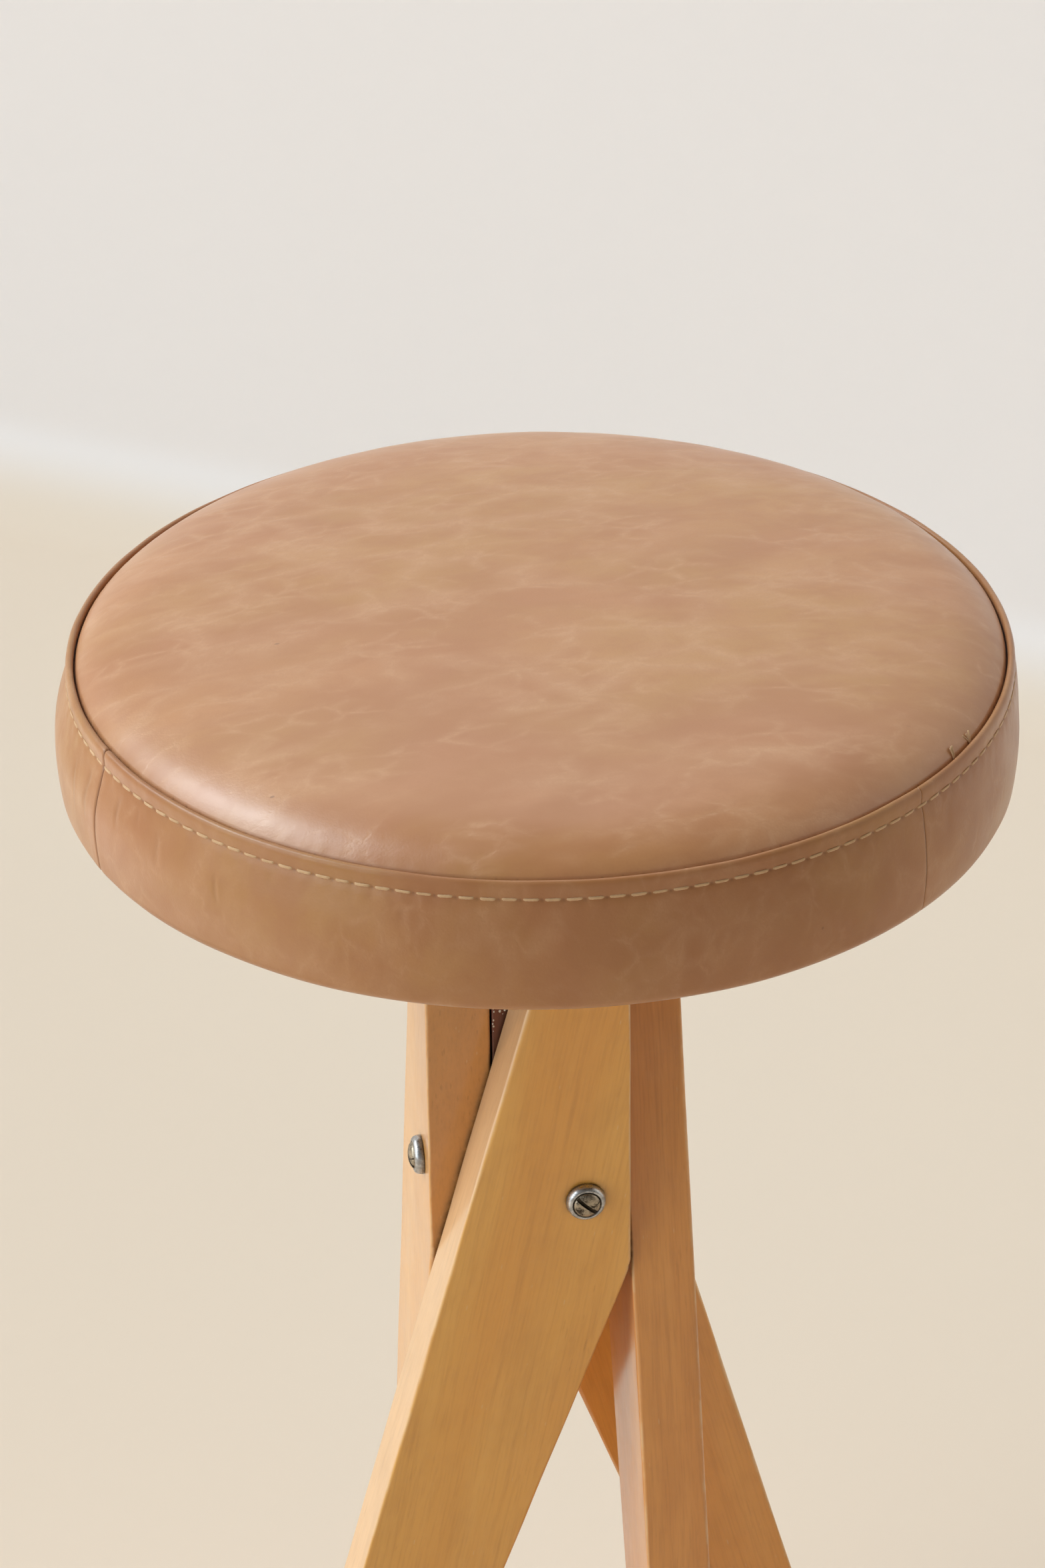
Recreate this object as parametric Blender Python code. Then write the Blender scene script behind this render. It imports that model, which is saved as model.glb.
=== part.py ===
"""Counter-height stool: four crossed leg boards round a square core block,
carrying a round leather-covered seat.

Frame: metres, +Z up, origin on the floor under the middle of the column.
The four boards stand in a pinwheel. The front board's outer face looks
towards -Y, and each next board is the same board turned 90 degrees about Z.
Pieces that belong to a board are modelled for the front board (k = 0), where
x runs along the board's face, and are then turned k quarter turns.
"""
import math
import bmesh
import bpy
from mathutils import Matrix, Vector

for old_object in list(bpy.data.objects):
    bpy.data.objects.remove(old_object, do_unlink=True)

# --------------------------------------------------------- shared dimensions
GAP = 0.0003                 # clearance between neighbouring pieces
SIDES = ("front", "right", "back", "left")

# stack of levels under the seat
BASE_BOTTOM_Z = 0.5895
PLATE_T = 0.0150
PLATE_TOP_Z = BASE_BOTTOM_Z - GAP
PLATE_BOTTOM_Z = PLATE_TOP_Z - PLATE_T
LEG_TOP_Z = PLATE_BOTTOM_Z - GAP
LEG_BOTTOM_Z = 0.0040

# leg boards
BOARD_T = 0.0250
FACE_OUT = 0.0500            # column axis to a board's outer face
FACE_IN = FACE_OUT - BOARD_T
MID_Y = -(FACE_IN + FACE_OUT) / 2    # middle of the front board's thickness
CUT_X = FACE_IN - GAP        # upright cut edge, butts on the next board
KNEE_Z = 0.3880              # below this the cut edge runs outwards
OUTER_KNEE_X = -0.0480       # slanted outer edge at the knee
OUTER_SLOPE = 0.2744         # its sideways run per unit of height
INNER_SLOPE = 0.3669         # the same for the inner edge below the knee
EDGE_EASE = 0.0015           # softened board edges

# raised-head screws, through each board into the core
SCREW_LEN = 0.0450           # from the board's face to the tip
SCREW_TIP = 0.0060           # length of the pointed end
SCREW_SHANK_R = 0.0024
SCREW_ROWS = {               # x and z on the board, extra turn of the slot in degrees
    "lower": (0.0068, KNEE_Z + 0.0328, 0.0),
    "upper": (0.0105, KNEE_Z + 0.1480, 47.0),
}

# screws of the mounting plate
PLATE_SCREW_X = 0.0142       # into each board's top end
PLATE_SCREW_R = 0.0019
PLATE_SCREW_LEN = 0.0420
SEAT_SCREW_PCR = 0.0600      # circle of the seat screws
SEAT_SCREW_R = 0.0020
SEAT_SCREW_LEN = 0.0270
PLATE_HARDWARE_TIP = 0.0050  # pointed end of both kinds

# nails of the foot glides
NAIL_R = 0.0012
NAIL_LEN = 0.0150

# how far hole cutters run past the wood, and past a tip
FACE_OVERCUT = 0.0100        # outer face of a board
JOINT_OVERCUT = 0.0020       # between board and core
TOP_OVERCUT = 0.0050         # top end of a board
PLY_OVERCUT = 0.0030         # faces of the plate and the base
TIP_ROOM = 0.0010
SEAT_TIP_ROOM = 0.0006
NAIL_TIP_ROOM = 0.0005


# ----------------------------------------------------------------- materials
def material(name, colour, roughness, metallic=0.0):
    made = bpy.data.materials.new(name)
    made.use_nodes = True
    inputs = made.node_tree.nodes["Principled BSDF"].inputs
    inputs["Base Color"].default_value = (*colour, 1.0)
    inputs["Roughness"].default_value = roughness
    inputs["Metallic"].default_value = metallic
    return made


BLOND_WOOD = material("blond_wood", colour=(0.56, 0.33, 0.14), roughness=0.48)
CORE_WOOD = material("core_wood", colour=(0.16, 0.060, 0.030), roughness=0.60)
PLYWOOD = material("plywood", colour=(0.50, 0.36, 0.21), roughness=0.65)
LEATHER = material("leather", colour=(0.42, 0.235, 0.145), roughness=0.46)
THREAD = material("thread", colour=(0.72, 0.55, 0.34), roughness=0.70)
FOAM = material("foam", colour=(0.80, 0.74, 0.58), roughness=0.90)
DUST_CLOTH = material("dust_cloth", colour=(0.035, 0.034, 0.033), roughness=0.95)
STEEL = material("steel", colour=(0.42, 0.41, 0.40), roughness=0.34, metallic=1.0)
SCREW_BRASS = material("screw_brass", colour=(0.36, 0.29, 0.20), roughness=0.40, metallic=1.0)
ZINC = material("zinc", colour=(0.60, 0.60, 0.60), roughness=0.35, metallic=1.0)
GLIDE_NYLON = material("glide_nylon", colour=(0.10, 0.085, 0.07), roughness=0.55)


# ------------------------------------------------------------------- helpers
def add(name, shape, finish=None, sharp_angle=None):
    """Turn a bmesh into an object, smooth below sharp_angle (degrees) if one is given."""
    bmesh.ops.recalc_face_normals(shape, faces=shape.faces)
    mesh = bpy.data.meshes.new(name)
    shape.to_mesh(mesh)
    shape.free()
    piece = bpy.data.objects.new(name, mesh)
    bpy.context.scene.collection.objects.link(piece)
    if finish is not None:
        mesh.materials.append(finish)
    if sharp_angle is not None:
        mesh.shade_smooth()
        mesh.set_sharp_from_angle(angle=math.radians(sharp_angle))
    return piece


def ring_verts(shape, radius, z, count, step, start=0.0):
    angles = [start + step * i for i in range(count)]
    return [shape.verts.new((radius * math.cos(a), radius * math.sin(a), z)) for a in angles]


def turned(profile, segments):
    """Solid of revolution about Z. The (radius, z) profile runs from the axis to
    the axis (radius 0 at both ends), or is a closed loop off the axis."""
    shape = bmesh.new()
    rows = []
    for radius, z in profile:
        if radius == 0.0:
            rows.append([shape.verts.new((0, 0, z))])
        else:
            rows.append(ring_verts(shape, radius, z, segments, 2 * math.pi / segments))
    pairs = list(zip(rows, rows[1:]))
    if profile[0][0] != 0.0:
        pairs.append((rows[-1], rows[0]))
    for low, high in pairs:
        for i in range(segments):
            j = (i + 1) % segments
            if len(low) == 1:
                shape.faces.new((low[0], high[j], high[i]))
            elif len(high) == 1:
                shape.faces.new((low[i], low[j], high[0]))
            else:
                shape.faces.new((low[i], low[j], high[j], high[i]))
    return shape


def swept(section, segments, start, end):
    """A closed (radius, z) section swept about Z between two angles, with capped ends."""
    shape = bmesh.new()
    step = (end - start) / segments
    rows = [ring_verts(shape, radius, z, segments + 1, step, start) for radius, z in section]
    for low, high in zip(rows, rows[1:] + rows[:1]):
        for i in range(segments):
            shape.faces.new((low[i], low[i + 1], high[i + 1], high[i]))
    shape.faces.new([row[0] for row in rows])
    shape.faces.new([row[-1] for row in rows][::-1])
    return shape


def box(size, centre, turn=0.0):
    """A box turned about Z by an angle in degrees, then moved to its centre."""
    shape = bmesh.new()
    bmesh.ops.create_cube(shape, size=1.0)
    bmesh.ops.scale(shape, verts=shape.verts, vec=size)
    spin = Matrix.Rotation(math.radians(turn), 3, "Z")
    bmesh.ops.rotate(shape, verts=shape.verts, matrix=spin)
    bmesh.ops.translate(shape, verts=shape.verts, vec=centre)
    return shape


def quarter_turns(k):
    return Matrix.Rotation(k * math.pi / 2, 4, "Z")


def drill(holes, pin_radius, start, end, segments, k=0):
    """Add a hole for a pin, with clearance, between two points turned k quarter turns."""
    start = quarter_turns(k) @ Vector(start)
    end = quarter_turns(k) @ Vector(end)
    axis = end - start
    radius = pin_radius + GAP
    matrix = (Matrix.Translation((start + end) / 2)
              @ axis.to_track_quat("Z", "Y").to_matrix().to_4x4())
    bmesh.ops.create_cone(holes, cap_ends=True, cap_tris=False, segments=segments,
                          radius1=radius, radius2=radius, depth=axis.length, matrix=matrix)


def cut(target, name, shape):
    """Subtract a shape from the target; returns the hidden cutter so it can be placed."""
    tool = add(name, shape)
    tool.hide_render = True
    tool.display_type = "WIRE"
    boolean = target.modifiers.new("cut_" + name, "BOOLEAN")
    boolean.operation = "DIFFERENCE"
    boolean.solver = "EXACT"
    boolean.object = tool
    return tool


def stand_on_board(piece, x, z, k):
    """Point a piece's +Z out of board k's face, and put it at (x, z) on that face."""
    piece.matrix_world = (quarter_turns(k)
                          @ Matrix.Translation((x, -FACE_OUT, z))
                          @ Matrix.Rotation(math.pi / 2, 4, "X"))


def plywood_disc(name, radius, ease, bottom, top, segments):
    """A disc with its lower edge chamfered by ease."""
    profile = [(0.0, bottom), (radius - ease, bottom), (radius, bottom + ease),
               (radius, top), (0.0, top)]
    return add(name, turned(profile, segments), PLYWOOD, sharp_angle=40)


# ---------------------------------------------------------------- leg boards
def outer_x(z):
    """The slanted outer edge of the front board at height z."""
    return OUTER_KNEE_X + OUTER_SLOPE * (z - KNEE_Z)


def inner_x(z):
    """Its inner edge at height z, below the knee."""
    return CUT_X + INNER_SLOPE * (z - KNEE_Z)


FOOT_X = (outer_x(LEG_BOTTOM_Z) + inner_x(LEG_BOTTOM_Z)) / 2


def leg_board():
    """Front board: an outline in the XZ plane, given its thickness along Y."""
    outline = [
        (outer_x(LEG_BOTTOM_Z), LEG_BOTTOM_Z),
        (inner_x(LEG_BOTTOM_Z), LEG_BOTTOM_Z),
        (CUT_X, KNEE_Z),
        (CUT_X, LEG_TOP_Z),
        (outer_x(LEG_TOP_Z), LEG_TOP_Z),
    ]
    shape = bmesh.new()
    face = shape.faces.new([shape.verts.new((x, -FACE_OUT, z)) for x, z in outline])
    extruded = bmesh.ops.extrude_face_region(shape, geom=[face])["geom"]
    moved = [item for item in extruded if isinstance(item, bmesh.types.BMVert)]
    bmesh.ops.translate(shape, verts=moved, vec=(0, BOARD_T, 0))
    return shape


def leg_holes():
    """Two holes through the front board, one down from its top, one up from its foot."""
    holes = bmesh.new()
    for x, z, _ in SCREW_ROWS.values():
        drill(holes, SCREW_SHANK_R, (x, -FACE_OUT - FACE_OVERCUT, z),
              (x, -FACE_IN + JOINT_OVERCUT, z), segments=12)
    drill(holes, PLATE_SCREW_R, (PLATE_SCREW_X, MID_Y, PLATE_TOP_Z - PLATE_SCREW_LEN - TIP_ROOM),
          (PLATE_SCREW_X, MID_Y, LEG_TOP_Z + TOP_OVERCUT), segments=10)
    drill(holes, NAIL_R, (FOOT_X, MID_Y, -0.002),    # from just under the floor
          (FOOT_X, MID_Y, LEG_BOTTOM_Z + NAIL_LEN + NAIL_TIP_ROOM), segments=8)
    return holes


def build_leg(side, k):
    leg = add("leg_" + side, leg_board(), BLOND_WOOD)
    ease = leg.modifiers.new("eased_edges", "BEVEL")
    ease.width = EDGE_EASE
    ease.segments = 2
    ease.limit_method = "ANGLE"
    ease.angle_limit = math.radians(40)
    tool = cut(leg, "guide_leg_holes_" + side, leg_holes())
    for piece in (leg, tool):
        piece.rotation_euler = (0, 0, k * math.pi / 2)


# ---------------------------------------------------------------- core block
CORE_HALF = 0.0244
CORE_BOTTOM_Z = KNEE_Z + 0.0020


def build_core():
    core = add("core_block", box(
        size=(2 * CORE_HALF, 2 * CORE_HALF, LEG_TOP_Z - CORE_BOTTOM_Z),
        centre=(0, 0, (LEG_TOP_Z + CORE_BOTTOM_Z) / 2)), CORE_WOOD)
    holes = bmesh.new()
    for k in range(4):
        for x, z, _ in SCREW_ROWS.values():
            drill(holes, SCREW_SHANK_R, (x, -FACE_IN - JOINT_OVERCUT, z),
                  (x, -FACE_OUT + SCREW_LEN + TIP_ROOM, z), segments=12, k=k)
    cut(core, "guide_core_holes", holes)


# --------------------------------------- raised-head screws and cup washers
HEAD_R = 0.0052
HEAD_RIM_H = 0.0034          # head's rim above the board's face
HEAD_RIM_T = 0.0003          # upright band at the rim
HEAD_TOP_H = 0.0055          # head's crown above the face
HEAD_NECK_H = 0.0004         # where the shank widens into the head
SLOT_W = 0.0011
SLOT_DEPTH = 0.0014
SLOT_CUT_LEN = 0.0140        # the slot's cutter
SLOT_CUT_H = 0.0040
SLOT_TURN = {"front": -38.0, "right": 21.0, "back": 64.0, "left": 100.0}   # degrees

WASHER_R = 0.0077
WASHER_H = 0.0037
WASHER_TOP_INSET = 0.0016
WASHER_DOME = [(0.0, 0.0), (0.0003, 0.0012), (0.0009, 0.0026)]   # inset, rise


def raised_screw():
    """Screw along Z: the board's face is z = 0, the tip points down."""
    dome = []
    for i in range(1, 4):
        angle = i / 4 * math.pi / 2
        dome.append((HEAD_R * math.cos(angle),
                     HEAD_RIM_H + (HEAD_TOP_H - HEAD_RIM_H) * math.sin(angle)))
    profile = [(0.0, -SCREW_LEN), (SCREW_SHANK_R, -SCREW_LEN + SCREW_TIP),
               (SCREW_SHANK_R, HEAD_NECK_H), (HEAD_R, HEAD_RIM_H - HEAD_RIM_T),
               (HEAD_R, HEAD_RIM_H), *dome, (0.0, HEAD_TOP_H)]
    return turned(profile, 16)


def cup_washer():
    """Domed ring standing on the face, with a conical seat for the head."""
    profile = [(WASHER_R - inset, GAP + rise) for inset, rise in WASHER_DOME]
    profile += [
        (WASHER_R - WASHER_TOP_INSET, WASHER_H),
        (HEAD_R + 0.0006, WASHER_H - 0.0001),       # mouth of the seat
        (SCREW_SHANK_R + 0.0006, GAP + 0.0002),     # foot of the seat
        (SCREW_SHANK_R + 0.0009, GAP),
    ]
    return turned(profile, 16)


def build_board_screw(row, side, k):
    x, z, extra_turn = SCREW_ROWS[row]
    screw = add(f"{row}_screw_{side}", raised_screw(), SCREW_BRASS, sharp_angle=35)
    slot = cut(screw, f"guide_slot_{row}_{side}", box(
        size=(SLOT_CUT_LEN, SLOT_W, SLOT_CUT_H),
        centre=(0, 0, HEAD_TOP_H - SLOT_DEPTH + SLOT_CUT_H / 2),
        turn=SLOT_TURN[side] + extra_turn))
    washer = add(f"{row}_cup_washer_{side}", cup_washer(), STEEL, sharp_angle=40)
    for piece in (screw, slot, washer):
        stand_on_board(piece, x, z, k)


# ------------------------------------------------ mounting plate and screws
PLATE_R = 0.0800
SINK_DEPTH = 0.0026          # counterbores for the heads of the plate screws
SINK_R = 0.0041
PLATE_HEAD_R = SINK_R - 0.0002
SEAT_SCREW_HEAD = [          # radius, z from the plate's underside
    (0.0, -0.0026), (0.0030, -0.0024), (0.0043, -0.0012), (0.0043, -GAP),
]


def build_plate():
    plate = plywood_disc("mounting_plate", PLATE_R, ease=0.001, bottom=PLATE_BOTTOM_Z,
                         top=PLATE_TOP_Z, segments=48)
    holes = bmesh.new()
    sinks = bmesh.new()
    bottom = PLATE_BOTTOM_Z - PLY_OVERCUT
    top = PLATE_TOP_Z + PLY_OVERCUT
    for k in range(4):
        drill(holes, PLATE_SCREW_R, (PLATE_SCREW_X, MID_Y, bottom),
              (PLATE_SCREW_X, MID_Y, PLATE_TOP_Z - SINK_DEPTH), segments=10, k=k)
        drill(holes, SEAT_SCREW_R, (SEAT_SCREW_PCR, 0, bottom), (SEAT_SCREW_PCR, 0, top),
              segments=10, k=k + 0.5)
        drill(sinks, SINK_R, (PLATE_SCREW_X, MID_Y, PLATE_TOP_Z - SINK_DEPTH - GAP),
              (PLATE_SCREW_X, MID_Y, top), segments=14, k=k)
    cut(plate, "guide_plate_holes", holes)
    cut(plate, "guide_plate_counterbores", sinks)


def build_plate_screw(side, k):
    """Points down into a board's top end; its origin is on top of the head."""
    profile = [(0.0, -PLATE_SCREW_LEN), (PLATE_SCREW_R, -PLATE_SCREW_LEN + PLATE_HARDWARE_TIP),
               (PLATE_SCREW_R, -SINK_DEPTH + 0.0003), (PLATE_HEAD_R, -0.0004),
               (PLATE_HEAD_R, 0.0), (0.0, 0.0)]
    screw = add(f"plate_screw_{side}", turned(profile, 10), ZINC, sharp_angle=35)
    screw.location = quarter_turns(k) @ Vector((PLATE_SCREW_X, MID_Y, PLATE_TOP_Z - GAP))


def build_seat_screw(k):
    """Points up through the plate into the seat base, midway between two boards."""
    profile = SEAT_SCREW_HEAD + [
        (SEAT_SCREW_R, -GAP), (SEAT_SCREW_R, SEAT_SCREW_LEN - PLATE_HARDWARE_TIP),
        (0.0, SEAT_SCREW_LEN)]
    screw = add(f"seat_screw_{k + 1}", turned(profile, 10), ZINC, sharp_angle=35)
    screw.location = quarter_turns(k + 0.5) @ Vector((SEAT_SCREW_PCR, 0, PLATE_BOTTOM_Z))


# ---------------------------------------------------------------------- seat
SEAT_SEGMENTS = 60
BASE_R = 0.1740
BASE_T = 0.0150
LEATHER_T = 0.0020

SEAM_R = 0.1731              # crease between top panel and band
SEAM_Z = 0.6380
CROWN_SLOW = 0.0115          # gentle dome
CROWN_FAST = 0.0105          # padded shoulder next to the seam
SLOW_POWER = 2.2
FAST_POWER = 14.0

FOAM_Z = BASE_BOTTOM_Z + BASE_T + 0.0005
FOAM_SIDE = [                # radius, z
    (0.1740, FOAM_Z), (0.1745, FOAM_Z + 0.010), (0.1730, 0.6255), (0.1700, 0.6268),
]
FOAM_TOP_RADII = (0.1690, 0.1640, 0.1540, 0.1300, 0.0800, 0.0)
FOAM_DROP = LEATHER_T + 0.0014       # foam's top below the crown

PANEL_TOP_RADII = (0.0, 0.0600, 0.1100, 0.1380, 0.1540, 0.1640, 0.1690)
PANEL_UNDER_RADII = (0.1670, 0.1540, 0.1380, 0.1100, 0.0600, 0.0)
PANEL_R = SEAM_R - 0.0006
PANEL_RIM = [                # inset from PANEL_R, rise above the seam
    (0.0, 0.0008), (0.0, -0.0090), (0.0014, -0.0090), (0.0016, -0.0010),
]

STITCH_R = 0.1763
STITCH_Z = 0.6318
THREAD_R = 0.0005
THREAD_STANDOFF = 0.0006     # thread's inner side to STITCH_R
BAND_R = 0.1801              # fullest point of the band
BAND_R_Z = 0.6060
BAND_CORNER = 0.0060
BAND_CORNER_INSET = 0.0008   # lower corner's outside, in from BAND_R
BAND_TURN_R = 0.1500         # how far the band turns in under the base
BAND_LIP = [(0.0004, 0.0002), (0.0015, 0.0010), (0.0025, 0.0)]   # radius, z from the seam
BAND_SEAMS = (-162.8, -50.0, 73.6)   # upright seams, degrees from +X
SEAT_BOTTOM_Z = 0.5865

DUST_IN_R = 0.0835
DUST_OUT_R = 0.1600
DUST_T = 0.0008


def crown_z(radius):
    """Height of the seat's top surface."""
    share = radius / SEAM_R
    return (SEAM_Z + CROWN_SLOW * (1 - share ** SLOW_POWER)
            + CROWN_FAST * (1 - share ** FAST_POWER))


def crown_points(radii, drop=0.0):
    return [(radius, crown_z(radius) - drop) for radius in radii]


def build_seat_base():
    base = plywood_disc("seat_base", BASE_R, ease=0.0015, bottom=BASE_BOTTOM_Z,
                        top=BASE_BOTTOM_Z + BASE_T, segments=SEAT_SEGMENTS)
    holes = bmesh.new()
    for k in range(4):
        drill(holes, SEAT_SCREW_R, (SEAT_SCREW_PCR, 0, BASE_BOTTOM_Z - PLY_OVERCUT),
              (SEAT_SCREW_PCR, 0, PLATE_BOTTOM_Z + SEAT_SCREW_LEN + SEAT_TIP_ROOM),
              segments=10, k=k + 0.5)
    cut(base, "guide_base_holes", holes)


def build_foam():
    profile = [(0.0, FOAM_Z)] + FOAM_SIDE + crown_points(FOAM_TOP_RADII, FOAM_DROP)
    add("seat_foam", turned(profile, 40), FOAM, sharp_angle=60)


def build_dust_cover():
    """Flat cloth ring under the band's turned-in edge."""
    top = SEAT_BOTTOM_Z - GAP
    bottom = top - DUST_T
    profile = [(DUST_IN_R, bottom), (DUST_OUT_R, bottom), (DUST_OUT_R, top), (DUST_IN_R, top)]
    add("seat_dust_cover", turned(profile, 48), DUST_CLOTH)


def build_top_panel():
    """A thin crowned disc whose rim turns down inside the band."""
    rim = [(PANEL_R - inset, SEAM_Z + rise) for inset, rise in PANEL_RIM]
    profile = crown_points(PANEL_TOP_RADII) + rim + crown_points(PANEL_UNDER_RADII, LEATHER_T)
    add("seat_top_panel", turned(profile, SEAT_SEGMENTS), LEATHER, sharp_angle=60)


def corner_arc(radius, degrees):
    """Points round the centre of the band's lower corner, from 0 (outwards) to 90 (down)."""
    centre_r = BAND_R - BAND_CORNER_INSET - BAND_CORNER
    centre_z = SEAT_BOTTOM_Z + BAND_CORNER
    return [(centre_r + radius * math.cos(math.radians(a)),
             centre_z - radius * math.sin(math.radians(a))) for a in degrees]


def band_section():
    """Folded lip at the seam, full side, turned in under the base, and back up inside."""
    section = [(SEAM_R + out, SEAM_Z + rise) for out, rise in BAND_LIP]
    section.append((STITCH_R, STITCH_Z))
    for share in (0.35, 0.7, 1.0):       # upper side fills out to its fullest point
        section.append((STITCH_R + (BAND_R - STITCH_R) * math.sin(share * math.pi / 2),
                        STITCH_Z + (BAND_R_Z - STITCH_Z) * share))
    section += corner_arc(BAND_CORNER, (0, 30, 60, 90))
    section += [(BAND_TURN_R, SEAT_BOTTOM_Z), (BAND_TURN_R, SEAT_BOTTOM_Z + LEATHER_T)]
    section += corner_arc(BAND_CORNER - LEATHER_T, (90, 45, 0))
    section += [
        (BAND_R - LEATHER_T, BAND_R_Z),
        (STITCH_R - LEATHER_T + 0.0002, STITCH_Z - 0.0020),
        (SEAM_R + 0.0002, SEAM_Z - 0.0070),          # inner edge below the lip
    ]
    return section


def build_bands():
    trim = GAP / 2 / BAND_R
    ends = BAND_SEAMS[1:] + (BAND_SEAMS[0] + 360.0,)
    for side, start, end in zip(("front", "right", "left"), BAND_SEAMS, ends):
        shape = swept(band_section(), SEAT_SEGMENTS // 3,
                      math.radians(start) + trim, math.radians(end) - trim)
        add("seat_band_" + side, shape, LEATHER, sharp_angle=50)


def build_thread():
    """A ring of diamond section round the band."""
    middle = STITCH_R + THREAD_STANDOFF + THREAD_R
    profile = [(middle + THREAD_R, STITCH_Z), (middle, STITCH_Z + THREAD_R),
               (middle - THREAD_R, STITCH_Z), (middle, STITCH_Z - THREAD_R)]
    add("topstitch_thread", turned(profile, SEAT_SEGMENTS), THREAD, sharp_angle=100)


# --------------------------------------------------------------- foot glides
GLIDE_R = 0.0090
GLIDE_TOP = LEG_BOTTOM_Z - GAP
NAIL_TIP = 0.0030
GLIDE_EDGE = [(0.0020, 0.0), (0.0004, 0.0010), (0.0, 0.0022)]    # inset, z


def build_glide(side, k):
    """Rounded disc on the floor with a nail up into the board's foot."""
    edge = [(GLIDE_R - inset, z) for inset, z in GLIDE_EDGE]
    profile = [(0.0, 0.0), *edge, (GLIDE_R, GLIDE_TOP), (NAIL_R, GLIDE_TOP),
               (NAIL_R, GLIDE_TOP + NAIL_LEN - NAIL_TIP), (0.0, GLIDE_TOP + NAIL_LEN)]
    glide = add("foot_glide_" + side, turned(profile, 16), GLIDE_NYLON, sharp_angle=35)
    glide.location = quarter_turns(k) @ Vector((FOOT_X, MID_Y, 0))


# --------------------------------------------------------------------- build
build_core()
build_plate()
for k, side in enumerate(SIDES):
    build_leg(side, k)
    for row in SCREW_ROWS:
        build_board_screw(row, side, k)
    build_plate_screw(side, k)
    build_seat_screw(k)
    build_glide(side, k)
build_seat_base()
build_foam()
build_dust_cover()
build_top_panel()
build_bands()
build_thread()
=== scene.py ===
"""A round stool: a padded leather seat on four bent boards screwed round a square core.

The stool stands on the floor at z = 0 with its axis on Z. Front is -Y, right is +X.
All sizes are in metres. The four boards are one board turned about Z in steps of 90 degrees.
"""
import math

import bmesh
import bpy
import numpy as np
from mathutils import Matrix, Vector, noise


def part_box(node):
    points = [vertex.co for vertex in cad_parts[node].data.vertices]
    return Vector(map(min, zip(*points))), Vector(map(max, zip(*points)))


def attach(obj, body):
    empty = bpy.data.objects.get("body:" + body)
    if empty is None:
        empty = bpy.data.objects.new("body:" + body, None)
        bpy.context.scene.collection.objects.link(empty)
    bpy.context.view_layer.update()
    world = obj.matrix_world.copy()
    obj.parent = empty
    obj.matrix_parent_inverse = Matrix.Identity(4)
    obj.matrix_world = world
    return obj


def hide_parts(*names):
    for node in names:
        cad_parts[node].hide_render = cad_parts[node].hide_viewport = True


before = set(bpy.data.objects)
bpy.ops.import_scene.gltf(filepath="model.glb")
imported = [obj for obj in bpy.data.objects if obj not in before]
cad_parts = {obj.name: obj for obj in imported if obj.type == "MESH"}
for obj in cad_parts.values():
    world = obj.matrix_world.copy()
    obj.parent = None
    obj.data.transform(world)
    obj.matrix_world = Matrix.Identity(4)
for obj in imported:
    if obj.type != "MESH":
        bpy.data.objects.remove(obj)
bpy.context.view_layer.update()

TAU = 2 * math.pi
SIDES = ("front", "right", "back", "left")

# ---------------------------------------------------------------- driving sizes
leg_lo, leg_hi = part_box("leg_front")
core_lo, core_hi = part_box("core_block")
base_lo, base_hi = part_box("seat_base")
plate_lo, plate_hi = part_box("mounting_plate")
DUST_TOP_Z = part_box("seat_dust_cover")[1].z

# Seat: the crown rises above the seam as two power curves, one slow and one fast
SEAM_R = 0.1731
SEAM_Z = 0.6380
CROWN_SLOW, SLOW_POWER = 0.0115, 2.2
CROWN_FAST, FAST_POWER = 0.0105, 14.0
EDGE_DROP, EDGE_DROP_R = 0.0014, 0.160       # the panel's extra fall at its edge, and its start
PANEL_DISC_R = 0.150                         # where the lattice of the panel turns to rings
PANEL_THICKNESS = 0.0020
STITCH_R, STITCH_Z = 0.1763, 0.6318
BAND_R, BAND_R_Z = 0.1801, 0.6060            # the band's greatest radius and its height
SEAT_BOTTOM_Z = 0.5865
BAND_CORNER = 0.0060
BAND_TURN_R = 0.1500                         # inner edge of the leather turned under
BAND_SEAMS = [math.radians(a) for a in (-162.8, -50.0, 73.6)]
STITCHES = 148
COLS = 8 * STITCHES
SEAT_SCREW_R = 0.060
SEAT_DRILL_R = 0.0023
PLATE_SCREW_XY = (0.0142, -0.0375)

# Legs: on the front board, x runs along the board's width
KNEE_Z = 0.3880
OUTER_X_KNEE, OUTER_SLOPE, INNER_SLOPE = 0.0480, 0.2744, 0.3669
FACE_Y, INNER_FACE_Y = leg_lo.y, leg_hi.y
CUT_X = leg_hi.x
LEG_BOTTOM_Z, LEG_TOP_Z = leg_lo.z, leg_hi.z
SCREWS = {"lower": (0.0068, KNEE_Z + 0.0328), "upper": (0.0105, KNEE_Z + 0.1480)}    # x, z


# ======================================================================= numbers
def clamp(x):
    return np.clip(x, 0, 1)


def ease(x):
    x = clamp(x)
    return x * x * (3 - 2 * x)


def bell(x):
    return np.exp(-x ** 2)


def polar(radius, angle, z):
    """Points at a radius and angle about Z, as an array of (x, y, z)."""
    x, y = radius * np.cos(angle), radius * np.sin(angle)
    return np.stack([x, y, np.broadcast_to(z, x.shape)], -1)


def unit_rows(vectors):
    return vectors / np.linalg.norm(vectors, axis=1)[:, None]


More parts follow.
